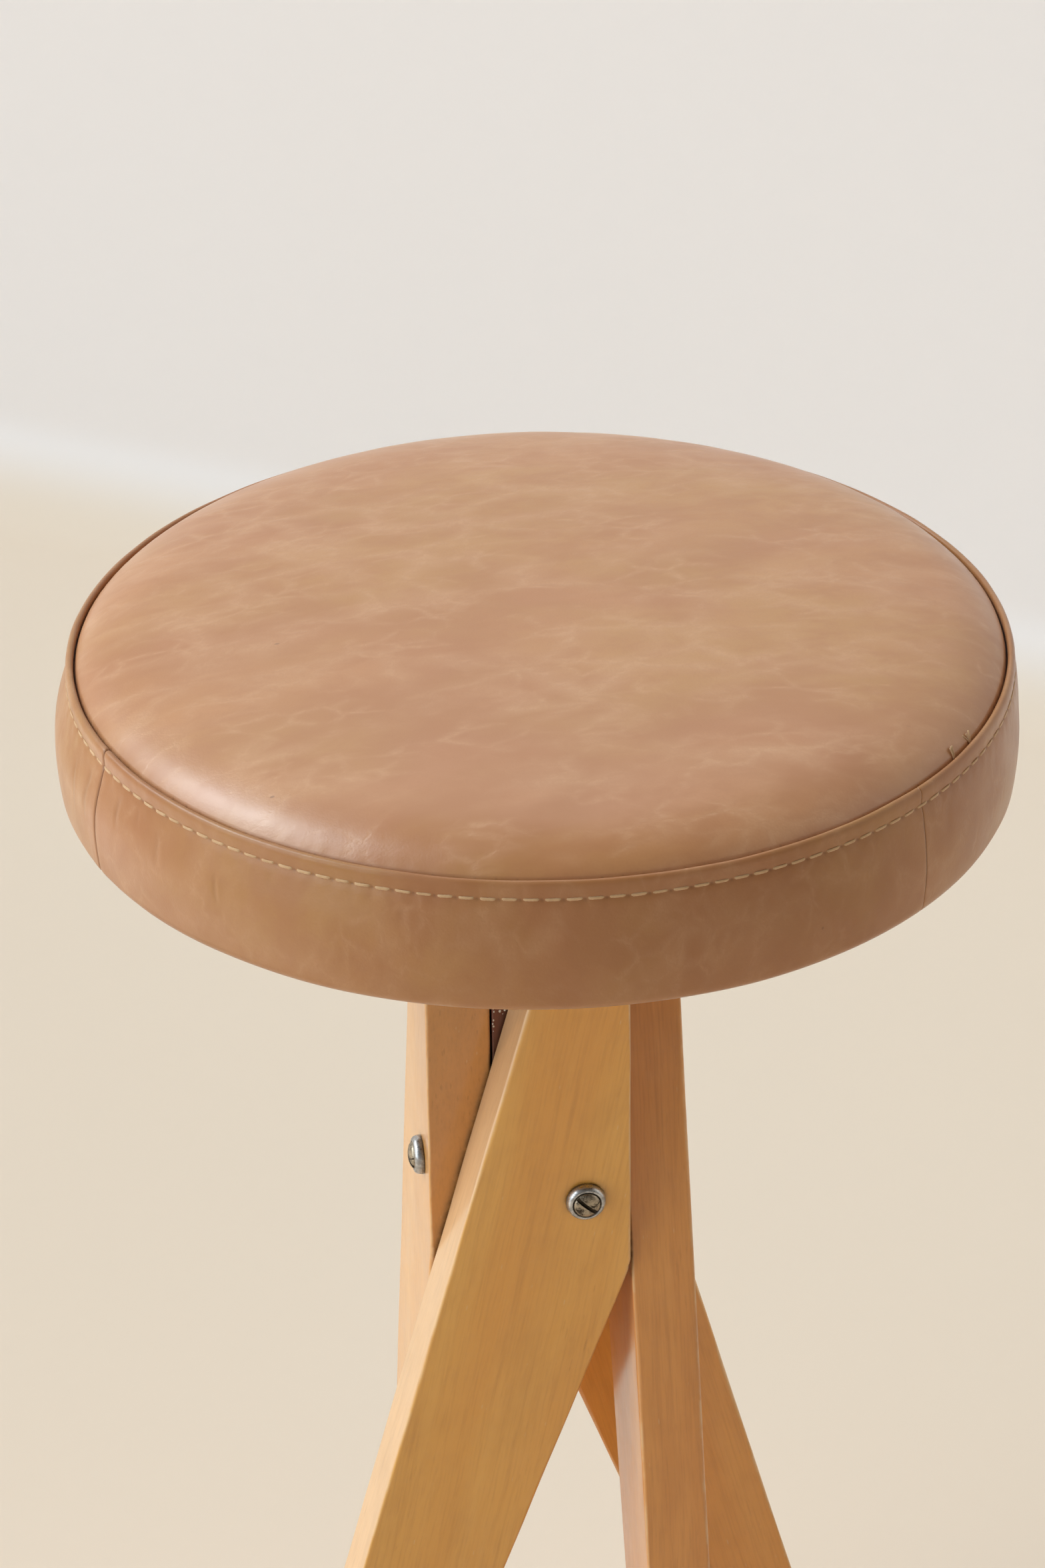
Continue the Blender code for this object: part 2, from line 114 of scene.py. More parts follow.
def spline(points, count, dense):
    """Catmull-Rom curve through (r, z) points, resampled to count points; returns the points
    and their arc positions. dense lists (arc position, width, weight) where points crowd."""
    ctrl = np.array(points, float)
    ctrl = np.vstack([2 * ctrl[0] - ctrl[1], ctrl, 2 * ctrl[-1] - ctrl[-2]])
    t = np.linspace(0, 1, 60, endpoint=False)[:, None]
    pieces = []
    for i in range(1, len(ctrl) - 2):
        before, start, end, after = ctrl[i - 1:i + 3]
        pieces.append(0.5 * ((2 * start) + (end - before) * t
                             + (2 * before - 5 * start + 4 * end - after) * t ** 2
                             + (-before + 3 * start - 3 * end + after) * t ** 3))
    curve = np.vstack(pieces + [ctrl[-2:-1]])
    step = np.hypot(*np.diff(curve, axis=0).T)
    arc = np.concatenate([[0], np.cumsum(step)])
    weight = np.ones_like(arc)
    for at, width, extra in dense:
        weight += extra * bell((arc - at) / width)
    total = np.concatenate([[0], np.cumsum((weight[1:] + weight[:-1]) / 2 * step)])
    pick = np.interp(np.linspace(0, total[-1], count), total, arc)
    return np.stack([np.interp(pick, arc, curve[:, i]) for i in (0, 1)], -1), pick


def wavy(theta, seed, parts=((1, 1.0), (2, 0.7), (3, 0.5), (5, 0.35), (8, 0.22))):
    """A smooth periodic wobble round the seat, about -1 to 1. parts: waves per turn, weight."""
    rng = np.random.default_rng(seed)
    total = np.zeros_like(theta)
    for waves, weight in parts:
        total = total + weight * np.sin(waves * theta + rng.uniform(0, TAU))
    return total / sum(weight for _, weight in parts)


def crown_z(r):
    x = clamp(r / SEAM_R)
    return SEAM_Z + CROWN_SLOW * (1 - x ** SLOW_POWER) + CROWN_FAST * (1 - x ** FAST_POWER)


def panel_z(r):
    """The leather panel's outer surface: the crown, drawn down harder near the seam."""
    return crown_z(r) - EDGE_DROP * clamp((r - EDGE_DROP_R) / (SEAM_R - EDGE_DROP_R)) ** 3.5


# ======================================================================== meshes
def new_object(name, mesh):
    ob = bpy.data.objects.new(name, mesh)
    bpy.context.scene.collection.objects.link(ob)
    return ob


def mesh_object(name, verts, quads, tris=(), ngons=()):
    """A smooth mesh from arrays of quads and triangles, with a few n-gons."""
    verts = np.asarray(verts, np.float32)
    groups = [np.asarray(group, np.int32) for group in (quads, tris) if len(group)]
    groups += [np.asarray([face], np.int32) for face in ngons]
    loops = np.concatenate([group.ravel() for group in groups])
    totals = np.concatenate([np.full(len(g), g.shape[1], np.int32) for g in groups])
    starts = np.cumsum(totals, dtype=np.int32) - totals
    mesh = bpy.data.meshes.new(name)
    mesh.vertices.add(len(verts))
    mesh.vertices.foreach_set("co", verts.ravel())
    mesh.loops.add(len(loops))
    mesh.loops.foreach_set("vertex_index", loops)
    mesh.polygons.add(len(starts))
    mesh.polygons.foreach_set("loop_start", starts)
    mesh.polygons.foreach_set("loop_total", totals)
    mesh.update(calc_edges=True)
    mesh.validate()
    mesh.shade_smooth()
    return new_object(name, mesh)


def bmesh_object(name, bm):
    mesh = bpy.data.meshes.new(name)
    bm.to_mesh(mesh)
    bm.free()
    return new_object(name, mesh)


def grid_quads(rows, cols, wrap, closed=False):
    """Quads of a rows x cols lattice. wrap joins the last column to the first, and
    closed joins the last row to the first."""
    row = np.arange(rows if closed else rows - 1)[:, None]
    col = np.arange(cols if wrap else cols - 1)[None, :]
    next_row, next_col = (row + 1) % rows, (col + 1) % cols
    corners = (row * cols + col, row * cols + next_col,
               next_row * cols + next_col, next_row * cols + col)
    return np.stack(corners, -1).reshape(-1, 4)


def lathe(name, profile, segs, sharp=None, place=None):
    """Solid of revolution about Z from (r, z) points. The profile starts and ends on the
    axis, or is a closed loop off it."""
    profile = np.array(profile, float)
    on_axis = profile[0, 0] == 0.0
    rings = profile[1:-1] if on_axis else profile
    verts = polar(rings[:, :1], np.arange(segs) / segs * TAU, rings[:, 1:]).reshape(-1, 3)
    quads = grid_quads(len(rings), segs, True, closed=not on_axis)
    tris = ()
    if on_axis:
        i = np.arange(segs)
        j = (i + 1) % segs
        low_pole, high_pole = len(verts), len(verts) + 1
        last = (len(rings) - 1) * segs
        tris = np.vstack([np.stack([j, i, np.full(segs, low_pole)], -1),
                          np.stack([last + i, last + j, np.full(segs, high_pole)], -1)])
        verts = np.vstack([verts, [[0, 0, profile[0, 1]]], [[0, 0, profile[-1, 1]]]])
    ob = mesh_object(name, verts, quads, tris)
    if sharp is not None:
        ob.data.set_sharp_from_angle(angle=math.radians(sharp))
    if place is not None:
        ob.matrix_world = place
    return ob


def tube(path, reference, radii, around=8):
    """Rings about a path. The first ring axis is square to the path and the reference, the
    second is square to the first. A negative radius turns the ring the other way."""
    tangent = unit_rows(np.gradient(path, axis=0))
    first = unit_rows(np.cross(tangent, reference))
    second = np.cross(tangent, first)
    phi = (np.arange(around) / around * TAU)[None, :, None]
    return (path[:, None] + radii[0] * np.cos(phi) * first[:, None]
            + radii[1] * np.sin(phi) * second[:, None])


def tubes_object(name, tubes):
    """One mesh of capped tubes, each an array of rings of points."""
    quads, caps = [], []
    start = 0
    for rings in tubes:
        sections, around = rings.shape[:2]
        end = start + sections * around
        quads.append(grid_quads(sections, around, True) + start)
        caps.append(list(range(start, start + around))[::-1])
        caps.append(list(range(end - around, end)))
        start = end
    verts = np.vstack([rings.reshape(-1, 3) for rings in tubes])
    ob = mesh_object(name, verts, np.vstack(quads), (), caps)
    fix_normals(ob)
    return ob


def fix_normals(ob):
    bm = bmesh.new()
    bm.from_mesh(ob.data)
    bmesh.ops.recalc_face_normals(bm, faces=bm.faces)
    bm.to_mesh(ob.data)
    bm.free()


def bake(ob):
    """Replace an object's mesh by its evaluated mesh and drop its modifiers."""
    bpy.context.view_layer.update()
    depsgraph = bpy.context.evaluated_depsgraph_get()
    mesh = bpy.data.meshes.new_from_object(ob.evaluated_get(depsgraph))
    ob.modifiers.clear()
    old = ob.data
    ob.data = mesh
    bpy.data.meshes.remove(old)


def cut_with(ob, bm):
    """Take the shape in bm out of the object."""
    bmesh.ops.recalc_face_normals(bm, faces=bm.faces)
    tool = bmesh_object("cutter", bm)
    tool_mesh = tool.data
    mod = ob.modifiers.new("cut", "BOOLEAN")
    mod.operation = "DIFFERENCE"
    mod.solver = "EXACT"
    mod.object = tool
    bake(ob)
    bpy.data.objects.remove(tool, do_unlink=True)
    bpy.data.meshes.remove(tool_mesh)


def drill(ob, first_angle, spot, z, radius, depth, segments):
    """Four upright holes: the spot (x, y) turned to first_angle and by quarter turns."""
    bm = bmesh.new()
    for k in range(4):
        turn = Matrix.Rotation(first_angle + k * math.pi / 2, 4, "Z")
        middle = turn @ Vector((*spot, 0))
        bmesh.ops.create_cone(bm, cap_ends=True, segments=segments, radius1=radius,
                              radius2=radius, depth=depth,
                              matrix=Matrix.Translation((middle.x, middle.y, z)))
    cut_with(ob, bm)


def shade_by_angle(ob, degrees):
    ob.data.shade_smooth()
    ob.data.set_sharp_from_angle(angle=math.radians(degrees))


def even_shading(ob):
    ob.modifiers.new("even_shading", "WEIGHTED_NORMAL").weight = 100
    bake(ob)


def points_of(mesh):
    points = np.zeros(len(mesh.vertices) * 3)
    mesh.vertices.foreach_get("co", points)
    return points.reshape(-1, 3)


def set_attr(ob, name, values):
    attribute = ob.data.attributes.new(name, "FLOAT", "POINT")
    attribute.data.foreach_set("value", np.asarray(values, np.float32))


def centre_of(node):
    lo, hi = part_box(node)
    return (lo + hi) / 2


def done(ob, material, slot, *nodes):
    """Give the object its material, attach it to the root body and hide the named pieces it takes
    the place of.
    """
    ob.data.materials.clear()
    ob.data.materials.append(material)
    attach(ob, "root")
    if nodes:
        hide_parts(*nodes)


# ===================================================================== materials
class Tree:
    """A short way to write a node tree."""

    def __init__(self, tree):
        self.tree = tree

    def put(self, socket, value):
        if isinstance(value, bpy.types.NodeSocket):
            self.tree.links.new(value, socket)
        else:
            socket.default_value = value

    def node(self, kind, output, inputs=(), **props):
        """A new node with its properties and inputs set; returns one of its outputs."""
        node = self.tree.nodes.new("ShaderNode" + kind)
        for key, value in props.items():
            setattr(node, key, value)
        for key, value in dict(inputs).items():
            self.put(node.inputs[key], value)
        return node.outputs[output]


def opaque(colour):
    return colour if isinstance(colour, bpy.types.NodeSocket) else (*colour, 1.0)


def scaled(colour, *factors):
    """A colour times one factor, or times one factor per channel."""
    return tuple(x * factor for x, factor in zip(colour, factors * 3))


class Material(Tree):
    """A Principled material. paint() and relief() add layers to its colour and normal."""

    def __init__(self, name):
        self.material = bpy.data.materials.new(name)
        self.material.use_nodes = True
        super().__init__(self.material.node_tree)
        self.bsdf = self.tree.nodes["Principled BSDF"]
        coord = self.tree.nodes.new("ShaderNodeTexCoord")
        self.place = coord.outputs["Object"]
        self.facing = coord.outputs["Normal"]
        self.colour = None
        self.normal = None

    def mapping(self, vector, scale=(1, 1, 1), rot=(0, 0, 0), loc=(0, 0, 0)):
        return self.node("Mapping", "Vector", {"Vector": vector, "Scale": scale,
                                               "Rotation": rot, "Location": loc})

    def noise(self, vector, scale, detail=2.0, rough=0.5, distort=0.0, output="Fac"):
        return self.node("TexNoise", output, {
            "Vector": vector, "Scale": scale, "Detail": detail,
            "Roughness": rough, "Distortion": distort})

    def warp(self, vector, scale, amount, detail=2.0):
        """The vector pushed about by up to half of amount."""
        cloud = self.noise(vector, scale, detail, output="Color")
        push = self.node("VectorMath", 0, {0: cloud, 1: (0.5, 0.5, 0.5)}, operation="SUBTRACT")
        return self.node("VectorMath", 0, {0: push, 1: (amount, amount, amount), 2: vector},
                         operation="MULTIPLY_ADD")

    def voronoi(self, vector, scale, feature="F1"):
        return self.node("TexVoronoi", "Distance", {"Vector": vector, "Scale": scale},
                         feature=feature)

    def math(self, operation, a, b=0.0):
        return self.node("Math", 0, {0: a, 1: b}, operation=operation)

    def mul(self, a, b):
        return self.math("MULTIPLY", a, b)

    def ramp(self, fac, span, to=(0.0, 1.0)):
        """A smooth step over the span of fac, from to[0] to to[1]."""
        return self.node("MapRange", "Result", {
            "Value": fac, "From Min": span[0], "From Max": span[1],
            "To Min": to[0], "To Max": to[1]}, interpolation_type="SMOOTHSTEP")

    def mix(self, fac, a, b):
        return self.node("Mix", 2, {0: fac, 6: opaque(a), 7: opaque(b)}, data_type="RGBA")

    def paint(self, fac, colour):
        self.colour = self.mix(fac, self.colour, colour)

    def bump(self, height, strength, distance, under=None):
        inputs = {"Strength": strength, "Distance": distance, "Height": height}
        if under is not None:
            inputs["Normal"] = under
        return self.node("Bump", "Normal", inputs)

    def relief(self, height, strength, distance):
        self.normal = self.bump(height, strength, distance, self.normal)

    def attr(self, name):
        return self.node("Attribute", "Fac", attribute_name=name)

    def finish(self, rough, **inputs):
        self.put(self.bsdf.inputs["Base Color"], self.colour)
        self.put(self.bsdf.inputs["Roughness"], rough)
        if self.normal is not None:
            self.put(self.bsdf.inputs["Normal"], self.normal)
        for key, value in inputs.items():
            self.put(self.bsdf.inputs[key.replace("_", " ")], value)
        return self.material


LEATHER_MID = (0.530, 0.245, 0.100)
LEATHER_DEEP = (0.452, 0.188, 0.076)
LEATHER_PALE = (0.605, 0.320, 0.166)
LEATHER_WISP = (0.725, 0.425, 0.245)
LEATHER_DARK = (0.130, 0.050, 0.020)


def leather_material(name, seed, stretch, tone=(1.0, 1.0, 1.0), veins=1.0, gloss=0.62):
    """Tan leather: darker rounded patches parted by pale feathery creases, pebble grain."""
    mat = Material(name)
    mid, deep, pale, wisp = (scaled(colour, *tone) for colour in
                             (LEATHER_MID, LEATHER_DEEP, LEATHER_PALE, LEATHER_WISP))
    place = mat.place
    hide = mat.mapping(place, scale=stretch, loc=(seed * 0.731, seed * 0.417, seed * 0.293))
    warped = mat.warp(hide, scale=34.0, amount=0.016, detail=3.0)
    warped = mat.warp(warped, scale=150.0, amount=0.0035, detail=3.0)
    # large clouds and the rounded patches between the creases
    cloud = mat.noise(hide, scale=9.0, detail=3.0, rough=0.55, distort=0.5)
    patch = mat.noise(warped, scale=60.0, detail=4.0, rough=0.60)
    mat.colour = mat.mix(mat.ramp(cloud, span=(0.36, 0.66)), deep, mid)
    hue = mat.noise(mat.mapping(hide, loc=(7.7, 3.1, 5.9)), scale=13.0, detail=3.0, distort=0.4)
    mat.paint(mat.ramp(hue, span=(0.40, 0.66), to=(0.0, 0.55)), scaled(mid, 0.95, 1.03, 0.82))
    mat.paint(mat.ramp(hue, span=(0.30, 0.48), to=(0.40, 0.0)), scaled(mid, 1.03, 0.98, 1.12))
    mat.paint(mat.ramp(patch, span=(0.34, 0.62), to=(0.55, 0.0)), deep)
    # creases, coarse and fine: a broad pale bloom, strong only in places
    coarse = mat.voronoi(warped, scale=43.0, feature="DISTANCE_TO_EDGE")
    fine = mat.voronoi(mat.mapping(warped, rot=(0, 0, 0.7), loc=(3.1, 1.7, 0.4)),
                       scale=88.0, feature="DISTANCE_TO_EDGE")
    coarse_where = mat.ramp(mat.noise(warped, scale=27.0, detail=3.0, rough=0.55),
                            span=(0.38, 0.68))
    fine_where = mat.ramp(mat.noise(warped, scale=48.0, detail=3.0, rough=0.55),
                          span=(0.42, 0.68))
    for edge, where, width, amount in ((coarse, coarse_where, 0.30, 0.42),
                                       (fine, fine_where, 0.24, 0.30)):
        bloom = mat.mul(mat.ramp(edge, span=(0.0, width), to=(1.0, 0.0)), where)
        mat.paint(mat.mul(bloom, amount * veins), pale)
    # a finer, brighter thread inside each bloom
    feather = mat.noise(mat.warp(warped, scale=400.0, amount=0.002), scale=330.0, detail=3.0,
                        rough=0.6)
    feather = mat.ramp(feather, span=(0.40, 0.62))
    threads = [mat.mul(mat.mul(mat.ramp(edge, span=(0.0, width), to=(1.0, 0.0)), where), feather)
               for edge, where, width in ((coarse, coarse_where, 0.095),
                                          (fine, fine_where, 0.12))]
    hair = mat.math("MAXIMUM", *threads)
    mat.paint(mat.mul(hair, 0.17 * veins), wisp)
    # pebble grain
    pebble = mat.voronoi(place, scale=1150.0, feature="SMOOTH_F1")
    grit = mat.noise(place, scale=2100.0, rough=0.6)
    grain = mat.math("ADD", mat.mul(pebble, 0.75), mat.mul(grit, 0.5))
    mat.paint(mat.ramp(pebble, span=(0.25, 0.75), to=(0.0, 0.14)), deep)
    # a few specks
    speck = mat.voronoi(hide, scale=58.0)
    rare = mat.ramp(mat.noise(hide, scale=31.0, detail=0.0), span=(0.64, 0.68))
    mat.paint(mat.mul(mat.ramp(speck, span=(0.020, 0.045), to=(0.45, 0.0)), rare), LEATHER_DARK)
    # painted shade: darker down in the seams, crease, wrinkles and stitch holes
    mat.paint(mat.mul(mat.attr("hollow_shade"), 0.85), LEATHER_DARK)
    mat.relief(mat.mul(hair, -1.0), strength=0.12, distance=0.0004)
    mat.relief(mat.noise(warped, scale=120.0), strength=0.06, distance=0.0010)
    mat.relief(grain, strength=0.16, distance=0.00022)
    return mat.finish(mat.ramp(patch, span=(0.3, 0.7), to=(0.38, 0.30)),
                      Specular_IOR_Level=gloss, Sheen_Weight=0.12, Sheen_Roughness=0.35,
                      Sheen_Tint=(1.0, 0.92, 0.88, 1.0))


def wood_material(name, seed, tilt, light, mid, warm, dark=(0.430, 0.165, 0.027),
                  rough=0.46, figure=1.0, gloss=0.85, edge=None):
    """Hardwood under a glossy clear lacquer. The grain runs along the board's slant (tilt).
    edge is the colour of the board's edge faces, those square to its own X, where it differs from
    that of its broad faces; it is painted light and shade, matched to how those faces are lit."""
    mat = Material(name)
    place = mat.place
    grain = mat.mapping(place, rot=(0, tilt, 0), loc=(seed * 0.137, seed * 0.071, seed * 0.311))
    grain = mat.warp(grain, scale=7.0, amount=0.0065, detail=1.0)

    def drawn(along, vector=grain, loc=(0, 0, 0)):
        """Grain coordinates scaled along the grain, so that marks are drawn out."""
        return mat.mapping(vector, scale=(1.0, 1.0, along), loc=loc)

    if edge is not None:
        # painted light and shade: the edge faces take the edge colour, matched to the light on
        # them
        across = mat.node("SeparateXYZ", 0, {0: mat.facing})
        edge_light_and_shade = mat.ramp(mat.math("ABSOLUTE", across), span=(0.55, 0.90))
        light, mid, warm, dark = (
            mat.mix(edge_light_and_shade, colour, scaled(edge, factor)) for colour, factor in
            ((light, 1.06), (mid, 1.0), (warm, 0.93), (dark, 0.55)))
    # growth bands, broad and narrow
    band = mat.noise(drawn(0.045), scale=42.0, detail=3.0, rough=0.55)
    tone = mat.noise(drawn(0.22), scale=14.0, distort=0.3)
    mat.colour = mat.mix(mat.ramp(band, span=(0.34, 0.66)), mid, light)
    mat.paint(mat.ramp(tone, span=(0.40, 0.64), to=(0.0, 0.85)), warm)
    line = mat.noise(drawn(0.028), scale=330.0, detail=4.0, rough=0.66, distort=0.12)
    mat.paint(mat.ramp(line, span=(0.50, 0.74), to=(0.0, 0.20 * figure)), dark)
    mat.paint(mat.ramp(line, span=(0.26, 0.46), to=(0.14 * figure, 0.0)), light)
    # fibres
    fibre = mat.noise(drawn(0.040), scale=1000.0, detail=3.0, rough=0.62, distort=0.1)
    mat.paint(mat.ramp(fibre, span=(0.44, 0.72), to=(0.0, 0.17 * figure)), dark)
    speck = mat.noise(drawn(0.35), scale=750.0, rough=0.6)
    mat.paint(mat.ramp(speck, span=(0.50, 0.72), to=(0.0, 0.10 * figure)), light)
    # pores: short dark strokes that gather in bands, and a few pale flecks
    pore = mat.voronoi(drawn(0.075, mat.warp(grain, scale=300.0, amount=0.0008, detail=1.0)),
                       scale=620.0)
    pick = mat.noise(drawn(0.25), scale=330.0, detail=1.0)
    stroke = mat.mul(mat.ramp(pore, span=(0.10, 0.34), to=(1.0, 0.0)),
                     mat.ramp(pick, span=(0.50, 0.60)))
    gather = mat.ramp(mat.noise(drawn(0.06), scale=30.0), span=(0.42, 0.62), to=(0.18, 1.0))
    stroke = mat.mul(stroke, gather)
    mat.paint(mat.mul(stroke, 0.36 * figure), dark)
    fleck = mat.ramp(mat.voronoi(drawn(0.16, loc=(5, 2, 1)), scale=520.0),
                     span=(0.06, 0.16), to=(1.0, 0.0))
    fleck = mat.mul(fleck, mat.ramp(mat.noise(grain, scale=150.0, detail=1.0),
                                    span=(0.58, 0.66)))
    mat.paint(mat.mul(fleck, 0.35), (0.80, 0.56, 0.26))
    # faint cloudiness of the finish
    cloud = mat.noise(drawn(0.5), scale=48.0, detail=3.0, rough=0.6)
    mat.paint(mat.ramp(cloud, span=(0.44, 0.72), to=(0.0, 0.16)), dark)
    # one pin knot now and then
    knot = mat.voronoi(drawn(0.8), scale=16.0)
    mat.paint(mat.ramp(knot, span=(0.008, 0.019), to=(0.80, 0.0)), (0.075, 0.026, 0.006))
    # worn, paler arrises; painted shade darkens the joints and corners, found by ambient
    # occlusion, and the boards are darker towards the foot
    wear = mat.noise(place, scale=60.0, detail=4.0, rough=0.6)
    wear = mat.ramp(wear, span=(0.40, 0.62), to=(0.10, 0.60))
    mat.paint(mat.mul(mat.attr("arris"), wear), (0.78, 0.52, 0.27))
    # painted shade: ambient occlusion darkens the colour in the joints and corners
    occlusion = mat.node("AmbientOcclusion", "AO", {"Distance": 0.0035}, samples=4)
    corner = mat.ramp(occlusion, span=(0.45, 0.85), to=(1.0, 0.0))
    grime_and_shade = mat.math("MAXIMUM", mat.mul(corner, 0.75), mat.attr("grime_and_shade"))
    blotch = mat.ramp(mat.noise(place, scale=260.0, detail=3.0), span=(0.3, 0.6), to=(0.45, 1.0))
    mat.paint(mat.mul(grime_and_shade, blotch), (0.050, 0.018, 0.007))
    mat.relief(mat.mul(stroke, -1.0), strength=0.30, distance=0.00022)
    mat.relief(fibre, strength=0.10, distance=0.00012)
    coat_normal = mat.bump(mat.noise(drawn(0.12), scale=110.0), strength=0.05, distance=0.0005)
    coat_rough = mat.ramp(mat.noise(grain, scale=55.0, detail=3.0), span=(0.3, 0.7),
                          to=(0.08, 0.16))
    wood_rough = mat.ramp(mat.noise(grain, scale=40.0, detail=3.0), span=(0.3, 0.7),
                          to=(rough - 0.06, rough + 0.08))
    return mat.finish(wood_rough, Specular_IOR_Level=0.2, Coat_Weight=gloss,
                      Coat_Roughness=coat_rough, Coat_IOR=1.6, Coat_Normal=coat_normal)


def metal_material(name, base, grime_and_shade, rough, amount, scale=420.0):
    """Metal with patches of dirt; amount is how strongly they cover it. Where the mesh marks it,
    the metal is darker still: painted shade.
    """
    mat = Material(name)
    patch = mat.noise(mat.place, scale=scale, detail=5.0, rough=0.68, distort=0.6)
    fine = mat.noise(mat.place, scale=scale * 3.1, detail=3.0, rough=0.6)
    cover = mat.mul(mat.ramp(patch, span=(0.44, 0.64)), amount)
    mat.colour = mat.mix(cover, base, grime_and_shade)
    # painted shade where the mesh marks it: a washer's foot and seat, a screw's slot
    mat.paint(mat.mul(mat.attr("grime_and_shade"), 0.9), scaled(grime_and_shade, 0.25))
    clean_rough = mat.ramp(fine, span=(0.3, 0.7), to=(rough - 0.05, rough + 0.07))
    mat.relief(patch, strength=0.16, distance=0.00018)
    mat.relief(fine, strength=0.10, distance=0.00006)
    return mat.finish(mat.math("ADD", mat.mul(cover, 0.28), clean_rough),
                      Metallic=mat.math("SUBTRACT", 1.0, mat.mul(cover, 0.35)))


def mottled_material(name, first, second, scale, rough, strength):
    """Two colours in soft patches, with a fine bump of the given strength."""
    mat = Material(name)
    patch = mat.noise(mat.place, scale=scale, detail=4.0, rough=0.6)
    mat.colour = mat.mix(mat.ramp(patch, span=(0.35, 0.68)), first, second)
    mat.relief(mat.noise(mat.place, scale=scale * 4, detail=3.0, rough=0.6),
               strength=strength, distance=0.0004)
    return mat.finish(mat.ramp(patch, span=(0.3, 0.7), to=(rough - 0.05, rough + 0.05)))


def plywood_material():
    """Plies 3 mm apart on the edges, plain veneer on the faces."""
    mat = Material("plywood")
    place = mat.place
    height = mat.node("SeparateXYZ", 2, {0: place})
    ply = mat.math("FRACT", mat.mul(height, 1 / 0.0030))
    layer = mat.ramp(mat.math("ABSOLUTE", mat.math("SUBTRACT", ply, 0.5)), span=(0.22, 0.28))
    veneer = mat.noise(mat.mapping(place, scale=(0.06, 1.0, 1.0)), scale=130.0, detail=4.0,
                       rough=0.6, distort=0.4)
    streak = mat.noise(mat.mapping(place, scale=(1.0, 1.0, 5.0)), scale=160.0, detail=3.0,
                       rough=0.6)
    normal_z = mat.node("SeparateXYZ", 2, {0: mat.node("NewGeometry", "Normal")})
    flat = mat.ramp(mat.math("ABSOLUTE", normal_z), span=(0.6, 0.9))
    face = mat.mix(mat.ramp(veneer, span=(0.35, 0.65)), (0.60, 0.43, 0.24), (0.47, 0.31, 0.155))
    mat.colour = mat.mix(layer, (0.56, 0.40, 0.23), (0.26, 0.155, 0.075))
    mat.paint(mat.ramp(streak, span=(0.4, 0.7), to=(0.0, 0.4)), (0.20, 0.12, 0.06))
    mat.paint(flat, face)
    mat.relief(veneer, strength=0.15, distance=0.0003)
    return mat.finish(0.68)


def dust_material():
    """Black cloth of loose fibres that run two ways."""
    mat = Material("dust_cloth")
    fibres = [mat.noise(mat.mapping(mat.place, scale=scale, rot=rot), scale=900.0, detail=3.0,
                        rough=0.7)
              for scale, rot in (((1.0, 0.12, 1.0), (0, 0, 0)), ((0.12, 1.0, 1.0), (0, 0, 0.4)))]
    fibre = mat.math("MAXIMUM", *fibres)
    mat.colour = mat.mix(mat.ramp(fibre, span=(0.50, 0.75)),
                         (0.020, 0.019, 0.018), (0.085, 0.082, 0.078))
    mat.relief(fibre, strength=0.4, distance=0.0003)
    return mat.finish(0.92, Specular_IOR_Level=0.15)


def foam_material():
    mat = Material("foam")
    cell = mat.voronoi(mat.place, scale=620.0)
    mat.colour = mat.mix(mat.ramp(cell, span=(0.2, 0.7)), (0.62, 0.55, 0.36), (0.80, 0.74, 0.55))
    mat.relief(cell, strength=0.7, distance=0.0010)
    return mat.finish(0.95, Specular_IOR_Level=0.1)


def thread_material():
    mat = Material("thread")
    patch = mat.noise(mat.place, scale=160.0)
    fuzz = mat.noise(mat.mapping(mat.place), scale=3800.0)
    mat.colour = mat.mix(mat.ramp(patch, span=(0.3, 0.7)),
                         (0.560, 0.340, 0.170), (0.640, 0.405, 0.215))
    mat.paint(mat.ramp(fuzz, span=(0.3, 0.7), to=(0.0, 0.25)), (0.42, 0.245, 0.115))
    # painted shade where each stitch dives into its hole
    mat.paint(mat.mul(mat.attr("hollow_shade"), 0.6), (0.20, 0.11, 0.05))
    mat.relief(fuzz, strength=0.3, distance=0.0001)
    return mat.finish(0.62, Specular_IOR_Level=0.3, Sheen_Weight=0.2)


LEATHER_TOP = leather_material("leather_top", seed=3.0, stretch=(0.62, 1.15, 1.0), gloss=0.78)
# The band is the top's leather; its darker, warmer tone is painted shade for the seat's shaded
# sides.
LEATHER_BAND = leather_material("leather_band", seed=11.0, stretch=(1.0, 1.0, 0.8),
                                tone=(0.81, 0.78, 0.70), veins=0.85, gloss=0.48)
GRAIN = math.atan(OUTER_SLOPE) * 0.93
# The four boards are one wood, so the differences between their colours are painted light and
# shade: each board is coloured for the light on its own sides. The front board's pale pink edges
# are painted light, and the left board's darker edges are painted shade.
WOOD = {
    "front": wood_material(
        "blond_wood_front", seed=1.0, tilt=-0.20, light=(0.830, 0.425, 0.090),
        mid=(0.785, 0.375, 0.068), warm=(0.760, 0.325, 0.053), edge=(0.700, 0.415, 0.205)),
    "right": wood_material(
        "blond_wood_right", seed=5.3, tilt=-GRAIN, light=(0.760, 0.320, 0.072),
        mid=(0.690, 0.270, 0.056), warm=(0.640, 0.225, 0.042), dark=(0.380, 0.118, 0.024),
        figure=1.3),
    "back": wood_material(
        "blond_wood_back", seed=9.1, tilt=-GRAIN, light=(0.825, 0.392, 0.083),
        mid=(0.785, 0.348, 0.065), warm=(0.750, 0.303, 0.052)),
    "left": wood_material(
        "blond_wood_left", seed=14.7, tilt=-GRAIN, light=(0.780, 0.380, 0.100),
        mid=(0.740, 0.340, 0.080), warm=(0.710, 0.305, 0.062), edge=(0.640, 0.278, 0.068)),
}
